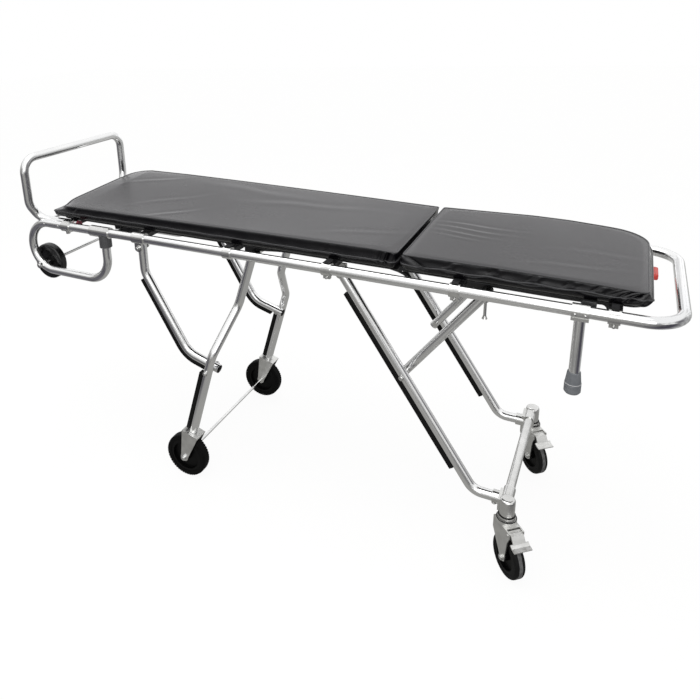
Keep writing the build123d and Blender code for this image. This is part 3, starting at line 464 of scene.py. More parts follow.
# %% Outline of a pad
PAD_LOW = 0.8296
PAD_Y = 0.216
STEP = 0.0080
CROWD = 0.5
LEAN_REACH = 0.12
ARC_POINTS = 13
LEAST_R = 0.001
pads = {
    "long": {
        "body": "frame", "node": "mattress_long",
        "span": (-0.894, 0.321), "corners": (0.012, 0.012, 0.012, 0.060), "lean": (0.012, 0.007),
        "held_at": -0.894, "gives": 0.0110,
        "near_edge": ((-0.894, 0.044), (-0.64, 0.0455), (-0.117, 0.0495), (0.25, 0.052), (0.321, 0.0490)),
        "far_edge": (
            (-0.894, 0.062), (-0.80, 0.072), (-0.62, 0.072), (-0.36, 0.068), (0.024, 0.060),
            (0.321, 0.0525),
        ),
    },
    "short": {
        "body": "backrest", "node": "mattress_short",
        "span": (0.337, 0.909), "corners": (0.012, 0.020, 0.095, 0.012), "lean": (-0.007, -0.003),
        "held_at": 0.909, "gives": 0.0150,
        "near_edge": ((0.337, 0.0480), (0.58, 0.0490), (0.80, 0.0450), (0.909, 0.0400)),
        "far_edge": (
            (0.337, 0.0530), (0.60, 0.0580), (0.70, 0.0558), (0.78, 0.0505), (0.84, 0.0460),
            (0.909, 0.0415),
        ),
    },
}


def smooth(value, low, high):
    share = np.clip((value - low) / (high - low), 0, 1)
    return share * share * (3 - 2 * share)


def ridge(distance, width):
    return np.exp(-((distance / width) ** 2))


def quarter(middle, radius, first):
    turns = np.radians(np.linspace(first, first + 90, ARC_POINTS))
    return np.column_stack([middle[0] + radius * np.cos(turns), middle[1] + radius * np.sin(turns)])


def outline_sides(pad, inset):
    """Near side, end, far side and start of the plan, each from the middle of one corner to the next."""
    start, end = pad["span"]
    arcs = []
    for number, radius in enumerate(pad["corners"]):
        at_end, at_far = number in (1, 2), number in (2, 3)
        middle_x = end - radius if at_end else start + radius
        middle_y = (PAD_Y - radius) * (1 if at_far else -1)
        arcs.append(quarter((middle_x, middle_y), max(radius - inset, LEAST_R), 180 + 90 * number))
        shift = max(inset - radius + LEAST_R, 0)
        arcs[-1] += np.array([-shift if at_end else shift, -shift if at_far else shift])
    long_steps, short_steps = (int(round(length / STEP)) for length in (end - start, 2 * PAD_Y))
    half = ARC_POINTS // 2
    sides = []
    for number, steps in enumerate((long_steps, short_steps) * 2):
        line = np.vstack([arcs[number][half:], arcs[(number + 1) % 4][:half + 1]])
        reach = np.concatenate([[0], np.cumsum(np.linalg.norm(np.diff(line, axis=0), axis=1))])
        even = np.linspace(0, 1, steps + 1)
        wanted = reach[-1] * (even - CROWD * np.sin(2 * math.pi * even) / (2 * math.pi))
        sides.append(np.column_stack([np.interp(wanted, reach, line[:, axis]) for axis in (0, 1)]))
    return sides


def edge_height(pad, x, y):
    """Height of the top edge or of the top panel above the deck."""
    near = np.interp(x, *zip(*pad["near_edge"]))
    far = np.interp(x, *zip(*pad["far_edge"]))
    return near + (far - near) * smooth(y, -PAD_Y, PAD_Y)


def leaned(pad, x, level):
    """X of a point after its end is drawn in, or stood upright at the split."""
    rise = np.clip(2 * level - 1, 0, 1)
    ends = zip(pad["span"], pad["lean"])
    shift = sum(lean * (1 - smooth(np.abs(x - end), 0, LEAN_REACH)) for end, lean in ends)
    return x + shift * rise


def blended_panel(sides):
    """Points of a panel from its four edge lines, as a grid of rows along X."""
    near, end, far, start = sides[0], sides[1], sides[2][::-1], sides[3][::-1]
    u = np.linspace(0, 1, len(near))[:, None, None]
    v = np.linspace(0, 1, len(end))[None, :, None]
    along = near[:, None] * (1 - v) + far[:, None] * v
    across = start[None] * (1 - u) + end[None] * u
    twice = near[0] * (1 - u) * (1 - v) + near[-1] * u * (1 - v) + far[0] * (1 - u) * v + far[-1] * u * v
    return along + across - twice


print("pads:", {key: pad["span"] for key, pad in pads.items()})

# %% [markdown]
# The rings are listed as shares of the band's height and insets from the outline. Close rings at the top
# keep the edge crisp, because subdivision rounds an edge only as far as its nearest ring.

# %% Pad skins
SEAM_UP = 0.0245
LOWER_BAND = ((0.0, 0.024), (0.10, 0.013), (0.32, 0.006), (0.58, 0.003), (0.84, 0.0012))
UPPER_BAND = (
    (0.0, 0.0), (0.14, 0.0024), (0.36, 0.0046), (0.60, 0.0056), (0.80, 0.0056), (0.93, 0.0058),
    (0.985, 0.0068),
)
TOP_RIM = ((1.0, 0.0088), (1.003, 0.0130))
TOP_LEVEL = 1.01


class PadSkin:
    """Points and faces of one pad, with the level of every point: 0 base, 0.5 seam, 1 top edge."""

    def __init__(self, pad):
        self.pad = pad
        self.points, self.levels, self.faces, self.rings = [], [], [], []
        for share, inset in LOWER_BAND:
            self.add_ring(inset, share * 0.5, share, 0.0)
        seam = len(self.rings)
        edge = seam + len(UPPER_BAND) - 1
        self.trims = {"welts": (edge, seam), "stitches": (seam + 1, edge - 1)}
        for share, inset in UPPER_BAND + TOP_RIM:
            self.add_ring(inset, 0.5 + share * 0.5, 1.0, share)
        for below, above in zip(self.rings, self.rings[1:]):
            self.faces += zip(below, below[1:] + below[:1], above[1:] + above[:1], above)
        self.add_panel(self.rings[-1], TOP_RIM[-1][1], True)
        self.add_panel(self.rings[0], LOWER_BAND[0][1], False)

    def add_points(self, plan, up, level):
        """Points over places of the plan; gives their numbers."""
        first = len(self.points)
        x = leaned(self.pad, plan[:, 0], level)
        self.points += np.column_stack([x, plan[:, 1], PAD_LOW + up]).tolist()
        self.levels += [level] * len(plan)
        return list(range(first, len(self.points)))

    def add_ring(self, inset, level, lower_share, upper_share):
        plan = np.vstack([side[:-1] for side in outline_sides(self.pad, inset)])
        edge = edge_height(self.pad, *plan.T)
        up = lower_share * SEAM_UP + upper_share * (edge - SEAM_UP)
        self.rings.append(self.add_points(plan, up, level))

    def add_panel(self, ring, inset, is_top):
        grid = blended_panel(outline_sides(self.pad, inset))
        near, end = grid.shape[0] - 1, grid.shape[1] - 1
        index = np.zeros((near + 1, end + 1), int)
        index[:near, 0] = ring[:near]
        index[near, :end] = ring[near:near + end]
        index[:0:-1, end] = ring[near + end:2 * near + end]
        index[0, :0:-1] = ring[2 * near + end:]
        inner = grid[1:-1, 1:-1].reshape(-1, 2)
        up = edge_height(self.pad, *inner.T) if is_top else np.zeros(len(inner))
        numbers = self.add_points(inner, up, TOP_LEVEL if is_top else 0.0)
        index[1:-1, 1:-1] = np.reshape(numbers, (near - 1, end - 1))
        quads = [index[:-1, :-1], index[1:, :-1], index[1:, 1:], index[:-1, 1:]]
        quads = np.stack(quads if is_top else quads[::-1], axis=-1)
        self.faces += quads.reshape(-1, 4).tolist()


def new_mesh(name, points, edges=(), faces=()):
    mesh = bpy.data.meshes.new(name)
    mesh.from_pydata(points, edges, faces)
    return mesh


def put_values(mesh, name, values):
    """One number for every point of a mesh, as a named attribute."""
    mesh.attributes.new(name, "FLOAT", "POINT").data.foreach_set("value", values)


def plain_mesh(piece):
    """The evaluated shape of an object as a mesh of its own."""
    graph = bpy.context.evaluated_depsgraph_get()
    return bpy.data.meshes.new_from_object(piece.evaluated_get(graph))


def apply_modifiers(piece):
    old, made = piece.data, plain_mesh(piece)
    piece.modifiers.clear()
    piece.data = made
    bpy.data.meshes.remove(old)


def places_of(mesh):
    flat = np.empty(len(mesh.vertices) * 3, np.float32)
    mesh.vertices.foreach_get("co", flat)
    return flat.reshape(-1, 3).astype(float)


def levels_of(mesh):
    levels = np.empty(len(mesh.vertices), np.float32)
    mesh.attributes["level"].data.foreach_get("value", levels)
    return levels.astype(float)


def put_places(mesh, places):
    mesh.vertices.foreach_set("co", places.astype(np.float32).ravel())
    mesh.update()


for key, pad in pads.items():
    skin = pad["skin"] = PadSkin(pad)
    mesh = new_mesh(f"mattress_{key}_cover", skin.points, faces=skin.faces)
    put_values(mesh, "level", skin.levels)
    pad["piece"] = linked(mesh.name, mesh)
    print("pad", key, "has", len(skin.points), "points and", len(skin.faces), "faces")

# %% [markdown]
# Foam pushes the cover out, the seams hold it back. A short cloth simulation with inner pressure gives
# that: the base and both seams are pinned, the panels between them swell, and a cap keeps a point from
# running away. The cap is small, because the covers of these pads are drawn tight over firm foam.

# %% Inflate the covers
PRESSURE = 4.0
SIM_FRAMES = 20
MOST_MOVE = 0.0016
PINNED_LEVELS = ((-0.01, 0.06), (0.47, 0.53), (0.985, 0.997))


def inflate(piece):
    start_places, level = places_of(piece.data), levels_of(piece.data)
    pinned = sum((level > low) & (level < high) for low, high in PINNED_LEVELS)
    held = piece.vertex_groups.new(name="held")
    held.add(np.flatnonzero(pinned).tolist(), 1.0, "REPLACE")
    cloth = piece.modifiers.new("cover", "CLOTH")
    cover = cloth.settings
    cover.quality = 6
    cover.mass = 0.35
    cover.tension_stiffness = cover.compression_stiffness = 12.0
    cover.bending_stiffness = 0.4
    cover.use_pressure = True
    cover.uniform_pressure_force = PRESSURE
    cover.vertex_group_mass = held.name
    cover.effector_weights.gravity = 0.0
    cloth.point_cache.frame_end = SIM_FRAMES
    for number in range(1, SIM_FRAMES + 1):
        scene.frame_set(number)
    apply_modifiers(piece)
    piece.vertex_groups.clear()
    moved = places_of(piece.data) - start_places
    length = np.linalg.norm(moved, axis=1)
    share = np.minimum(1.0, MOST_MOVE / np.maximum(length, 1e-9))
    put_places(piece.data, start_places + moved * share[:, None])
    scene.frame_set(1)
    return length


for key, pad in pads.items():
    reach = inflate(pad["piece"])
    print("pad", key, "pushed by", round(float(np.median(reach)) * 1000, 1), "mm before the cap")

# %% [markdown]
# A used cover isn't regular. The fabric gathers into pleats at an outer corner, it is folded and pinched
# at the split between the pads, and faint wrinkles run over the top. These are smooth moves of the
# points, written as functions of place, so they come out the same each time.

# %% Folds of the covers
WRINKLES = {
    "long": (
        (-0.44, -0.155, 40, 0.16, 0.012, 0.0010), (-0.52, -0.05, 36, 0.24, 0.014, 0.0006),
        (-0.70, 0.10, 30, 0.20, 0.014, 0.0009), (-0.05, 0.05, 8, 0.40, 0.020, 0.0008),
        (-0.30, 0.12, -6, 0.36, 0.022, 0.0008), (0.20, -0.10, 20, 0.20, 0.014, 0.0007),
    ),
    "short": (
        (0.47, 0.060, -4, 0.22, 0.009, 0.0008), (0.45, 0.025, -6, 0.20, 0.008, 0.0010),
        (0.44, -0.010, -7, 0.16, 0.008, 0.0009), (0.43, -0.040, -6, 0.12, 0.008, 0.0007),
        (0.74, -0.13, 12, 0.20, 0.012, 0.0006), (0.80, -0.02, 8, 0.20, 0.014, 0.0005),
    ),
}
SLACK = {"long": 0.0004, "short": 0.0010}
TUCKS = {"long": (-0.797, -0.22, 0.12), "short": (0.455, 0.565, 0.655, 0.735, 0.795)}
PLEATS = {"long": ((-0.894, 1, 0.0022),), "short": ((0.909, -1, 0.0046), (0.909, 1, 0.0030))}
TUCK_DEPTH = {"long": 0.0014, "short": 0.0046}
SPLIT_END = {"long": 0.321, "short": 0.337}
DRAWN_CORNER = (-0.894, -PAD_Y)
DRAWN_IN = (0.016, 0.018, -0.010)
CORE = 0.05


def top_wrinkles(places, level, key):
    """Soft wrinkles of the top: lines with a middle, a direction, a length, a width and a height."""
    rise = np.zeros(len(places))
    for x, y, angle, length, width, height in WRINKLES[key]:
        c, s = math.cos(math.radians(angle)), math.sin(math.radians(angle))
        dx, dy = places[:, 0] - x, places[:, 1] - y
        along = dx * c + dy * s
        across = dy * c - dx * s + 0.005 * np.sin(along * 24)
        fold = ridge(across, width) - 0.7 * ridge(across - 1.5 * width, width)
        rise += height * fold * ridge(along, length / 2)
    return rise * smooth(level, 0.999, TOP_LEVEL)


def on_side(y):
    """One on the long sides of a pad, nothing away from them."""
    return smooth(np.abs(y), PAD_Y - 0.030, PAD_Y - 0.012)


def side_tucks(x, y, level, key):
    """Slow waves, and a few slanting creases in the upper half of the side band."""
    upper = np.sin(np.clip(2 * level - 1, 0, 1) * math.pi)
    lower = np.sin(np.clip(2 * level, 0, 1) * math.pi)
    waves = np.sin(x * 41) + 0.6 * np.sin(x * 97 + 1.3)
    band = smooth(level, 0.52, 0.60) * (1 - smooth(level, 0.93, 0.99))
    creases = np.zeros(len(x))
    for place in TUCKS[key]:
        beside = x - place - 0.040 * (level - 0.75)
        creases += 0.7 * ridge(beside - 0.011, 0.009) - ridge(beside, 0.0042)
    return SLACK[key] * waves * (upper + lower) + TUCK_DEPTH[key] * creases * band * on_side(y)


def corner_pleats(x, y, level, key):
    """Fan of pleats that spreads downwards from an outer top corner."""
    move = np.zeros(len(x))
    band = smooth(level, 0.10, 0.40) * (1 - smooth(level, 0.94, 0.995))
    for corner_x, side, height in PLEATS[key]:
        inwards = np.maximum(PAD_Y - y * side, 0)
        from_corner = np.abs(x - corner_x)
        spacing = 0.014 + 0.026 * (1 - level)
        fan = np.cos(2 * math.pi * (from_corner + 0.004 * np.sin(from_corner * 90)) / spacing)
        reach = (1 - smooth(from_corner, 0.040, 0.095)) * (1 - smooth(inwards, 0.010, 0.022))
        move += height * fan * band * reach
    return move


def split_folds(x, y, level, key):
    """Folded fabric at the corners beside the split: loops on the long pad, flaps on the short."""
    from_end = np.abs(x - SPLIT_END[key])
    band = smooth(level, 0.25, 0.50) * (1 - smooth(level, 0.95, 0.995))
    if key == "long":
        slant = from_end + 0.016 * (level - 0.75)
        loops = ridge(slant - 0.013, 0.0048) + 0.8 * ridge(slant - 0.033, 0.0050)
        gaps = ridge(slant - 0.0235, 0.0046) + 0.5 * ridge(slant - 0.044, 0.0050)
        fold = 0.0045 * loops - 0.0085 * gaps
    else:
        slant = from_end - 0.050 * (1 - level) * 2
        fold = 0.0055 * (1 - smooth(slant, -0.012, 0.0)) - 0.0060 * ridge(slant - 0.004, 0.0045)
    return fold * band * on_side(y)


def corner_pull(x, y, level):
    """Share of the folded corner's move at each point: all at its top, nothing below the seam."""
    corner_x, corner_y = DRAWN_CORNER
    return ridge(x - corner_x, 0.045) * ridge(y - corner_y, 0.055) * smooth(level, 0.5, 1.0)


def shape_cover(places, level, key, pad):
    """Wrinkle the top, fold the side band, draw in a corner, and let the seam of a slack cover wander."""
    x, y = places[:, 0], places[:, 1]
    shaped = places + corner_pull(x, y, level)[:, None] * np.array(DRAWN_IN)
    shaped[:, 2] += top_wrinkles(places, level, key)
    shaped[:, 2] += 1.6 * SLACK[key] * np.sin(x * 58 + 0.7) * ridge(level - 0.5, 0.25)
    out = side_tucks(x, y, level, key) + corner_pleats(x, y, level, key) + split_folds(x, y, level, key)
    out *= 1 - smooth(level, 0.985, 1.001)
    start, end = pad["span"]
    middle_x = np.clip(x, start + CORE, end - CORE)
    away = np.column_stack([x - middle_x, y - np.clip(y, CORE - PAD_Y, PAD_Y - CORE)])
    away /= np.maximum(np.linalg.norm(away, axis=1), 1e-6)[:, None]
    shaped[:, :2] += away * out[:, None]
    return shaped


print("folds:", {key: len(WRINKLES[key]) + len(TUCKS[key]) + len(PLEATS[key]) for key in pads})

# %% [markdown]
# The inflated skins are subdivided once, and the folds are put on the finer skins. Subdivision keeps the
# first points as they were numbered, so the rings still give the lines of the seams. Each cover replaces
# its CAD solid. The pads are close at the split, so when the backrest rises their foam is pushed together
# by a centimetre or more.


# %% Finish the covers
def give_way(piece):
    """Give a piece of a pad a mesh of its own."""
    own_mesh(piece)


for key, pad in pads.items():
    piece, skin = pad["piece"], pad["skin"]
    finer = piece.modifiers.new("finer", "SUBSURF")
    finer.levels = finer.render_levels = 1
    apply_modifiers(piece)
    shaped = stood_array(shape_cover(places_of(piece.data), levels_of(piece.data), key, pad))
    put_places(piece.data, shaped)
    pad["lines"] = {trim: [shaped[skin.rings[n]] for n in pair] for trim, pair in skin.trims.items()}
    piece.data.polygons.foreach_set("use_smooth", [True] * len(piece.data.polygons))
    wear(piece, vinyl)
    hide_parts(pad["node"])
    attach(piece, pad["body"])
    give_way(piece)
    print("cover", key, "has", len(piece.data.polygons), "faces")

# %% [markdown]
# Piping, stitches, bolt heads and tread lugs repeat or follow a line, which is work for Geometry Nodes. A
# tree is wired like a material. Its sizes are named inputs, it ends by realizing its instances and
# setting a material, and its result is taken as a plain mesh.


# %% Geometry Nodes helper
class Growth(Wiring):
    """A Geometry Nodes tree with named sizes."""

    def __init__(self, name, **sizes):
        super().__init__(bpy.data.node_groups.new(name, "GeometryNodeTree"))
        face = self.tree.interface
        for label, kind in {"Start": "Geometry", **sizes, "Material": "Material"}.items():
            face.new_socket(label, in_out="INPUT", socket_type=f"NodeSocket{kind}")
        face.new_socket("Shape", in_out="OUTPUT", socket_type="NodeSocketGeometry")
        self.entry = self.tree.nodes.new("NodeGroupInput")
        self.exit = self.tree.nodes.new("NodeGroupOutput")

    def __getitem__(self, label):
        """The start mesh, or one of the named sizes."""
        return Term(self, self.entry.outputs[label])

    def instances(self, points, shape, rotation, scale=(1.0, 1.0, 1.0)):
        inputs = {"Points": points, "Instance": shape, "Rotation": rotation, "Scale": scale}
        return self.node("GeometryNodeInstanceOnPoints", inputs)

    def attribute(self, name, kind="FLOAT"):
        return self.node("GeometryNodeInputNamedAttribute", {"Name": name}, data_type=kind)

    def xyz(self, x, y, z):
        return self.node("ShaderNodeCombineXYZ", {"X": x, "Y": y, "Z": z})

    def facing(self, axis, way):
        return self.node("FunctionNodeAlignRotationToVector", {"Vector": way}, axis=axis)

    def moved(self, shape, **change):
        return self.node("GeometryNodeTransform", {"Geometry": shape, **change})

    def joined(self, *shapes):
        made = self.node("GeometryNodeJoinGeometry")
        for shape in shapes:
            self.feed(made.socket.node.inputs["Geometry"], shape)
        return made

    def smoothed(self, shape):
        return self.node("GeometryNodeSetShadeSmooth", {"Geometry": shape})

    def finish(self, shape):
        real = self.node("GeometryNodeRealizeInstances", {"Geometry": shape})
        inputs = {"Geometry": real, "Material": self["Material"]}
        self.feed(self.exit.inputs["Shape"], self.node("GeometryNodeSetMaterial", inputs))
        return self.tree


def outward(mesh):
    """Faces turned to point out of closed shapes."""
    shape = bmesh.new()
    shape.from_mesh(mesh)
    bmesh.ops.recalc_face_normals(shape, faces=shape.faces)
    shape.to_mesh(mesh)
    shape.free()


def grow(name, tree, start, body, slot, **sizes):
    """The tree's result on a start mesh, as a piece that rides on one body."""
    carrier = linked(name, start)
    grower = carrier.modifiers.new("grow", "NODES")
    grower.node_group = tree
    for item in tree.interface.items_tree:
        if item.in_out == "INPUT" and item.name in sizes:
            grower[item.identifier] = sizes[item.name]
    mesh = plain_mesh(carrier)
    bpy.data.objects.remove(carrier)
    mesh.name = name
    outward(mesh)
    piece = linked(name, mesh)
    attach(piece, body)
    print(name, "has", len(mesh.polygons), "faces on", body)
    return piece


print("Geometry Nodes helper ready")

# %% [markdown]
# Both seams of a pad carry a welt, a cord wrapped in the same fabric, coloured paler as a painted
# highlight of the seam's ridge. A closed line of edges becomes a curve, and a small circle is swept along
# it. The same tree makes the seal rings of the castors and the post tips' pale rims, whose paleness is a
# painted highlight.


# %% Piping
def piping_tree():
    tree = Growth("piping", Radius="Float", Sides="Int")
    curve = tree.node("GeometryNodeMeshToCurve", {"Mesh": tree["Start"]})
    profile = {"Resolution": tree["Sides"], "Radius": tree["Radius"]}
    circle = tree.node("GeometryNodeCurvePrimitiveCircle", profile)
    swept = tree.node("GeometryNodeCurveToMesh", {"Curve": curve, "Profile Curve": circle})
    return tree.finish(tree.smoothed(swept))


def closed_lines(name, lines):
    """Mesh of closed loops of edges."""
    points, edges = [], []
    for line in lines:
        first, count = len(points), len(line)
        points += np.asarray(line).tolist()
        edges += [(first + i, first + (i + 1) % count) for i in range(count)]
    return new_mesh(name, points, edges)


def sew(trim, tree, **sizes):
    """Grow a trim along its two lines on each pad, each with a mesh of its own."""
    for key, pad in pads.items():
        name = f"mattress_{key}_{trim}"
        lines = closed_lines(name, pad["lines"][trim])
        give_way(grow(name, tree, lines, pad["body"], "black_vinyl", **sizes))


piping = piping_tree()
sew("welts", piping, Radius=0.0020, Sides=8, Material=welt_highlight_vinyl)

# %% [markdown]
# Beside each welt runs a row of stitches. The line is resampled at the stitch pitch, and a flattened bead
# is set along the line's tangent at every point.


# %% Stitches
def stitch_tree():
    tree = Growth("stitch_row", Pitch="Float", Length="Float", Thickness="Float")
    curve = tree.node("GeometryNodeMeshToCurve", {"Mesh": tree["Start"]})
    spaced = {"Curve": curve, "Length": tree["Pitch"]}
    points = tree.node("GeometryNodeResampleCurve", spaced, mode="LENGTH")
    bead = tree.node("GeometryNodeMeshUVSphere", {"Segments": 6, "Rings": 4, "Radius": 0.5})
    scale = tree.xyz(tree["Length"], tree["Thickness"], tree["Thickness"])
    along = tree.facing("X", tree.node("GeometryNodeInputTangent"))
    return tree.finish(tree.smoothed(tree.instances(points, bead, along, scale)))


sew("stitches", stitch_tree(), Pitch=0.0062, Length=0.0042, Thickness=0.0011, Material=thread)

# %% [markdown]
# Between the hinge knuckles of the deck the gap is closed by strips of black webbing. A strip is a thin
# box that is set at every point of its start mesh and stretched by that point's size.


# %% Hinge webbing
def strip_tree():
    tree = Growth("webbing", Width="Float", Thickness="Float")
    section = tree.xyz(tree["Width"], 1.0, tree["Thickness"])
    box = tree.node("GeometryNodeMeshCube", {"Size": section})
    stretch = tree.xyz(1.0, tree.attribute("length"), 1.0)
    along = tree.facing("X", stood_ways([(1, 0, 0)])[0])
    return tree.finish(tree.instances(tree["Start"], box, along, stretch))


HINGE_X, WEB_Z = 0.3285, 0.8271
WEB_GAPS = ((-0.198, -0.172), (-0.128, -0.072), (-0.028, 0.028), (0.072, 0.128), (0.172, 0.198))
web_places = stood_array([(HINGE_X, (low + high) / 2, WEB_Z) for low, high in WEB_GAPS])
web_mesh = new_mesh("hinge_webbing", web_places.tolist())
put_values(web_mesh, "length", [high - low for low, high in WEB_GAPS])
sizes = {"Width": 0.0120, "Thickness": 0.0010, "Material": thread}
grow("hinge_webbing", strip_tree(), web_mesh, "frame", "black_vinyl", **sizes)

# %% [markdown]
# Bolt heads and end plugs are one shape in different sizes: a disc with a dome on it. Each point of the
# start mesh carries two attributes, the way its button faces and its radius. The places are those of
# pins, clamps and tube ends in the CAD.


# %% Button heads
def button_tree():
    tree = Growth("button_heads", Disc="Float", Rim="Float", Dome="Float", Rise="Float")
    facing = tree.facing("Z", tree.attribute("facing", "FLOAT_VECTOR"))
    rim = {"Vertices": 18, "Radius": tree["Disc"], "Depth": tree["Rim"]}
    disc = tree.node("GeometryNodeMeshCylinder", rim)
    ball = tree.node("GeometryNodeMeshUVSphere", {"Segments": 14, "Rings": 8, "Radius": 1.0})
    squat = tree.moved(ball, Scale=tree.xyz(tree["Dome"], tree["Dome"], tree["Rise"]))
    shape = tree.joined(disc, tree.smoothed(squat))
    return tree.finish(tree.instances(tree["Start"], shape, facing, tree.attribute("radius")))


def button_points(name, rows):
    """Points with the way they face and their radius, from rows of a level place, a way and a radius."""
    places, ways, radii = zip(*rows)
    mesh = new_mesh(name, stood_array(np.array(places) / 1000).tolist())
    facing = mesh.attributes.new("facing", "FLOAT_VECTOR", "POINT")
    facing.data.foreach_set("vector", stood_ways(ways).astype(np.float32).ravel())
    put_values(mesh, "radius", [r / 1000 for r in radii])
    return mesh


def both_sides(rows):
    """Rows of the near side, and the same on the far side."""
    return rows + [((x, -y, z), (wx, -wy, wz), radius) for (x, y, z), (wx, wy, wz), radius in rows]


NEAR = (0, -1, 0)
CASTOR_TURN = math.radians(-49.0)
CASTOR_PLACE = (644.0, 227.0, 21.6085)


def castor_row(side, place, way, radius):
    """Row of a castor's own frame, turned and moved to its place under the cot."""
    c, s = math.cos(CASTOR_TURN), math.sin(CASTOR_TURN)
    (x, y, z), (wx, wy, wz) = place, way
    px, py, pz = CASTOR_PLACE
    spot = (px + x * c - y * s, side * py + x * s + y * c, pz + z)
    return (spot, (wx * c - wy * s, wx * s + wy * c, wz), radius)


castor_pins = [((24, y, 59), (0, y, 0), 5.5) for y in (-26, 26)]
castor_pins += [((42, y, 145), (0, y, 0), 3.6) for y in (-22, 22)]
bolts = {
    "frame": both_sides(
        [((x, -258, 813), NEAR, 3.4) for x in (756.5, 778.5)] + [((-515, -243.5, 780), NEAR, 6.5)]
        + [((x, -248, 794), NEAR, 3.3) for x in (138, 482, 837)] + [((-946.94, -261, 659.99), NEAR, 7.5)]
        + [((x, -253.5, 815.8), NEAR, 3.6) for x in (-903, -840)]
    ),
    "front_legs": both_sides([((-271, -271.2, 407), NEAR, 6.0), ((-372, -288.2, 75), NEAR, 6.5)]),
    "rear_legs": both_sides(
        [((342, -211.2, 516), NEAR, 6.0), ((606, -205.2, 195.8), (0, -0.7, -0.7), 4.5)]
    ),
    "castor_near": [castor_row(-1, *row) for row in castor_pins],
    "castor_far": [castor_row(1, *row) for row in castor_pins],
}
plugs = {
    "front_braces": both_sides([((-251.8, -217, 401.4), (0.9604, 0, -0.2787), 13.4)]),
    "rear_braces": both_sides([
        ((332.3, -152, 503.2), (-0.604, 0, -0.797), 11.9),
        ((549.9, -152, 790.3), (0.604, 0, 0.797), 11.9),
    ]),
    "front_legs": both_sides([((-152.3, -142, 781.5), (0.3187, 0, 0.9479), 13.4)]),
}
BOLT = {"Disc": 1.25, "Rim": 0.30, "Dome": 1.0, "Rise": 0.55, "Material": bright_steel}
PLUG = {"Disc": 1.0, "Rim": 0.22, "Dome": 0.92, "Rise": 0.26, "Material": hub_plastic}
button_kinds = (("bolt_heads", bolts, "steel_pin", BOLT), ("tube_plugs", plugs, "black_plastic", PLUG))
buttons = button_tree()
for kind, table, slot, sizes in button_kinds:
    for body, rows in table.items():
        name = f"{kind}_{body}"
        grow(name, buttons, button_points(name, rows), body, slot, **sizes)

# %% [markdown]
# The front tyres are notched along both shoulders. A circle of points carries one small block each,
# turned to the circle's centre; the second row is shifted by half a step. The blocks fill the rounded
# shoulder of the CAD tyre and end inside its running radius, so the wheel stays as large as it is.


# %% Tread and rings
def tread_tree():
    kinds = dict.fromkeys(("Offset", "Lug", "Half", "Centre"), "Vector")
    tree = Growth("tread_lugs", Count="Int", Radius="Float", **kinds)
    circle = {"Vertices": tree["Count"], "Radius": tree["Radius"]}
    ring = tree.node("GeometryNodeMeshCircle", circle)
    lug = tree.node("GeometryNodeMeshCube", {"Size": tree["Lug"]})
    place = tree.node("GeometryNodeInputPosition")
    row = tree.instances(ring, lug, tree.facing("X", place))
    back = tree.vectors("SCALE", {0: tree["Offset"], "Scale": -1.0})
    first = tree.moved(row, Translation=tree["Offset"])
    half_turn = tree.node("FunctionNodeEulerToRotation", {0: tree["Half"]})
    second = tree.moved(row, Translation=back, Rotation=half_turn)
    upright = tree.moved(tree.joined(first, second), Rotation=(math.pi / 2, 0, 0))
    return tree.finish(tree.moved(upright, Translation=tree["Centre"]))


LUGS = 48
tread = tread_tree()
for side in SIDES:
    centre = joints[f"front_wheel_{side}_spin"]["pos_m"]
    sizes = {
        "Count": LUGS, "Radius": 0.0704, "Offset": (0, 0, 0.0122), "Lug": (0.0056, 0.0068, 0.0066),
        "Half": (0, 0, math.pi / LUGS), "Centre": tuple(centre), "Material": tyre_rubber,
    }
    name = f"front_tread_{side}"
    grow(name, tread, bpy.data.meshes.new(name), f"front_wheel_{side}", "black_rubber", **sizes)


def level_circle(x, y, z, radius, steps=40):
    turns = np.linspace(0, 2 * math.pi, steps, endpoint=False)
    ring = np.column_stack([x + radius * np.cos(turns), y + radius * np.sin(turns), np.full(steps, z)])
    return stood_array(ring / 1000)


SEAL_RINGS = ((163.4, 25.2), (172.8, 21.4))
POST_X, POST_Y = 767.5, 240
TIP_RIM_Z, TIP_RIM_R = 632.3, 18.3
for side, sign in zip(SIDES, (-1, 1)):
    px, py, pz = CASTOR_PLACE
    name = f"castor_seals_{side}"
    rings = [level_circle(px, sign * py, pz + z, radius) for z, radius in SEAL_RINGS]
    sizes = {"Radius": 0.0012, "Sides": 6, "Material": strip_rubber}
    grow(name, piping, closed_lines(name, rings), f"castor_{side}", "black_plastic", **sizes)
# The post tips' pale rims are a painted highlight.
tip_highlight_rims = [level_circle(POST_X, y, TIP_RIM_Z, TIP_RIM_R) for y in (-POST_Y, POST_Y)]
start = closed_lines("post_tip_highlight_rims", tip_highlight_rims)
grow("post_tip_highlight_rims", piping, start, "frame", "grey_rubber", Radius=0.0009, Sides=6, Material=tip_highlight_rubber)

# %% [markdown]
# Light and room: a pale floor that runs out to the horizon, one even sky and two large soft lamps.
# Polished tube looks like metal only when it has something to mirror, so reflections see a studio: a
# bright ceiling, and pale and dark cards that stand round the cot. The cards are a colour ramp over the
# compass angle. The camera itself sees the sky as white.

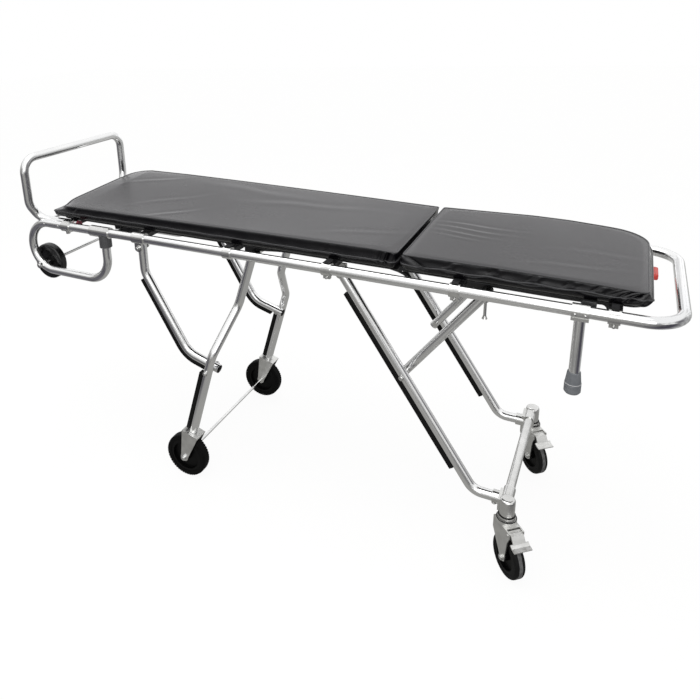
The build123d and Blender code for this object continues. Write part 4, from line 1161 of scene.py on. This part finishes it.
# %% Room and lamps
SKY_LIGHT = grey(0.62)
CEILING_LIGHT = grey(1.06)
WALL_TOP = (0.28, 0.52)
CLUTTER_NOISE = (0.38, 0.62)
CLUTTER_SHADE = (0.55, 1.30)
WALL_CARDS = (
    (0.00, (0.50, 0.50, 0.49)), (0.08, (0.34, 0.335, 0.33)), (0.16, (0.27, 0.268, 0.27)),
    (0.21, (0.62, 0.62, 0.61)), (0.24, grey(0.84)), (0.31, grey(0.84)),
    (0.355, (0.40, 0.40, 0.41)), (0.39, (0.80, 0.80, 0.79)), (0.46, (0.80, 0.80, 0.79)),
    (0.50, (0.20, 0.195, 0.21)), (0.55, (0.22, 0.215, 0.23)), (0.62, grey(0.80)),
    (0.70, (1.08, 1.08, 1.09)), (0.90, (1.08, 1.08, 1.09)), (0.96, (0.62, 0.62, 0.61)),
    (1.00, (0.50, 0.50, 0.49)),
)


def cards_round(wiring, stops, place, clutter):
    """Colour of the card in the compass direction of a place, broken up by the clutter of a workshop."""
    x, y = (wiring.part(place, axis) for axis in "XY")
    turn = wiring.math("ARCTAN2", y, x) * (0.5 / math.pi) + 0.5
    card = wiring.ramp(turn, stops)
    things = wiring.node("ShaderNodeTexNoise", {"Vector": place, "Scale": clutter, "Detail": 2.0})
    shade = wiring.ramped(things, *CLUTTER_NOISE, *CLUTTER_SHADE)
    return wiring.vectors("SCALE", {0: card, "Scale": shade})


world = bpy.data.worlds.new("pale studio")
world.use_nodes = True
scene.world = world
room = Wiring(world.node_tree)
towards = room.node("ShaderNodeTexCoord", output="Generated")
walls = cards_round(room, WALL_CARDS, towards, clutter=7.0)
studio = room.mix(room.ramped(room.part(towards, "Z"), *WALL_TOP), walls, CEILING_LIGHT)
mirrored = room.math("MAXIMUM", room.ray("Glossy"), room.ray("Transmission"))
unseen = room.mix(mirrored, SKY_LIGHT, studio)
seen = room.mix(room.ray("Camera"), unseen, grey(1.0))
room.feed(room.tree.nodes["Background"].inputs["Color"], seen)


def soft_lamp(name, place, target, size, power):
    data = bpy.data.lights.new(name, "AREA")
    data.shape = "RECTANGLE"
    data.size, data.size_y = size
    data.energy = power
    lamp = linked(name, data)
    lamp.location = place
    lamp.rotation_euler = (Vector(target) - Vector(place)).to_track_quat("-Z", "Y").to_euler()


soft_lamp("overhead", (-0.3, -0.4, 3.4), (0, 0, 0.8), size=(3.2, 2.4), power=46.0)
soft_lamp("front fill", (1.4, -3.2, 2.2), (0, 0, 0.6), size=(2.4, 1.8), power=22.0)
print("room: sky", SKY_LIGHT, "and", len(bpy.data.lights), "lamps")

# %% [markdown]
# The floor is one plane. Light Path tells its material who looks: the camera sees mostly white, with the
# cot's soft shadow left in, and a mirror sees a grey floor and the foot of the cards.

# %% Floor
FLOOR_HALF = 14.0
FLOOR_WHITE = 0.78
FLOOR_GLOW = 1.20
NEAR_FLOOR = (0.35, 0.347, 0.335)
CARDS_BEGIN = (0.7, 1.3)
FLOOR_CARDS = (
    (0.00, (0.34, 0.335, 0.33)), (0.06, (0.16, 0.157, 0.17)), (0.13, (0.11, 0.107, 0.125)),
    (0.19, (0.30, 0.298, 0.29)), (0.30, (0.40, 0.397, 0.385)), (0.34, (0.33, 0.328, 0.32)),
    (0.385, (0.18, 0.177, 0.18)), (0.43, (0.075, 0.072, 0.09)), (0.47, (0.075, 0.072, 0.09)),
    (0.52, grey(0.40)), (0.70, (0.60, 0.60, 0.59)), (0.85, (0.50, 0.497, 0.49)),
    (1.00, (0.34, 0.335, 0.33)),
)
look = Look("pale_floor", (0.34, 0.337, 0.33), 0.85)
speckle = look.patches(3.0, 2.0)
look.tint(speckle, (0.33, 0.327, 0.32), (0.35, 0.347, 0.34))
reach = look.vectors("LENGTH", {0: look.place}, "Value")
cards = cards_round(look, FLOOR_CARDS, look.place, clutter=2.2)
ground = look.mix(look.ramped(reach, *CARDS_BEGIN), NEAR_FLOOR, cards)
in_mirror = look.node("ShaderNodeEmission", {"Color": ground})
white = look.node("ShaderNodeEmission", {"Strength": FLOOR_GLOW})
plain = Term(look, look.shader.outputs[0])
seen = look.node("ShaderNodeMixShader", {0: look.ray("Camera") * FLOOR_WHITE, 1: plain, 2: white})
surface = look.node("ShaderNodeMixShader", {0: look.ray("Glossy"), 1: seen, 2: in_mirror})
look.feed(look.output.inputs["Surface"], surface)
corners = [(x * FLOOR_HALF, y * FLOOR_HALF, 0.0) for x, y in ((-1, -1), (1, -1), (1, 1), (-1, 1))]
floor = linked("floor", new_mesh("floor", corners, faces=[(0, 1, 2, 3)]))
wear(floor, look.material)
floor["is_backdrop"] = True
scene.view_settings.view_transform = "Standard"
print("floor of", 2 * FLOOR_HALF, "m")

# %% Sizes and finish
low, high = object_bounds()
sizes = {"cad": [list(cad_low), list(cad_high)], "visual": [list(low), list(high)]}
print("cad box", cad_high - cad_low, "visual box", high - low)
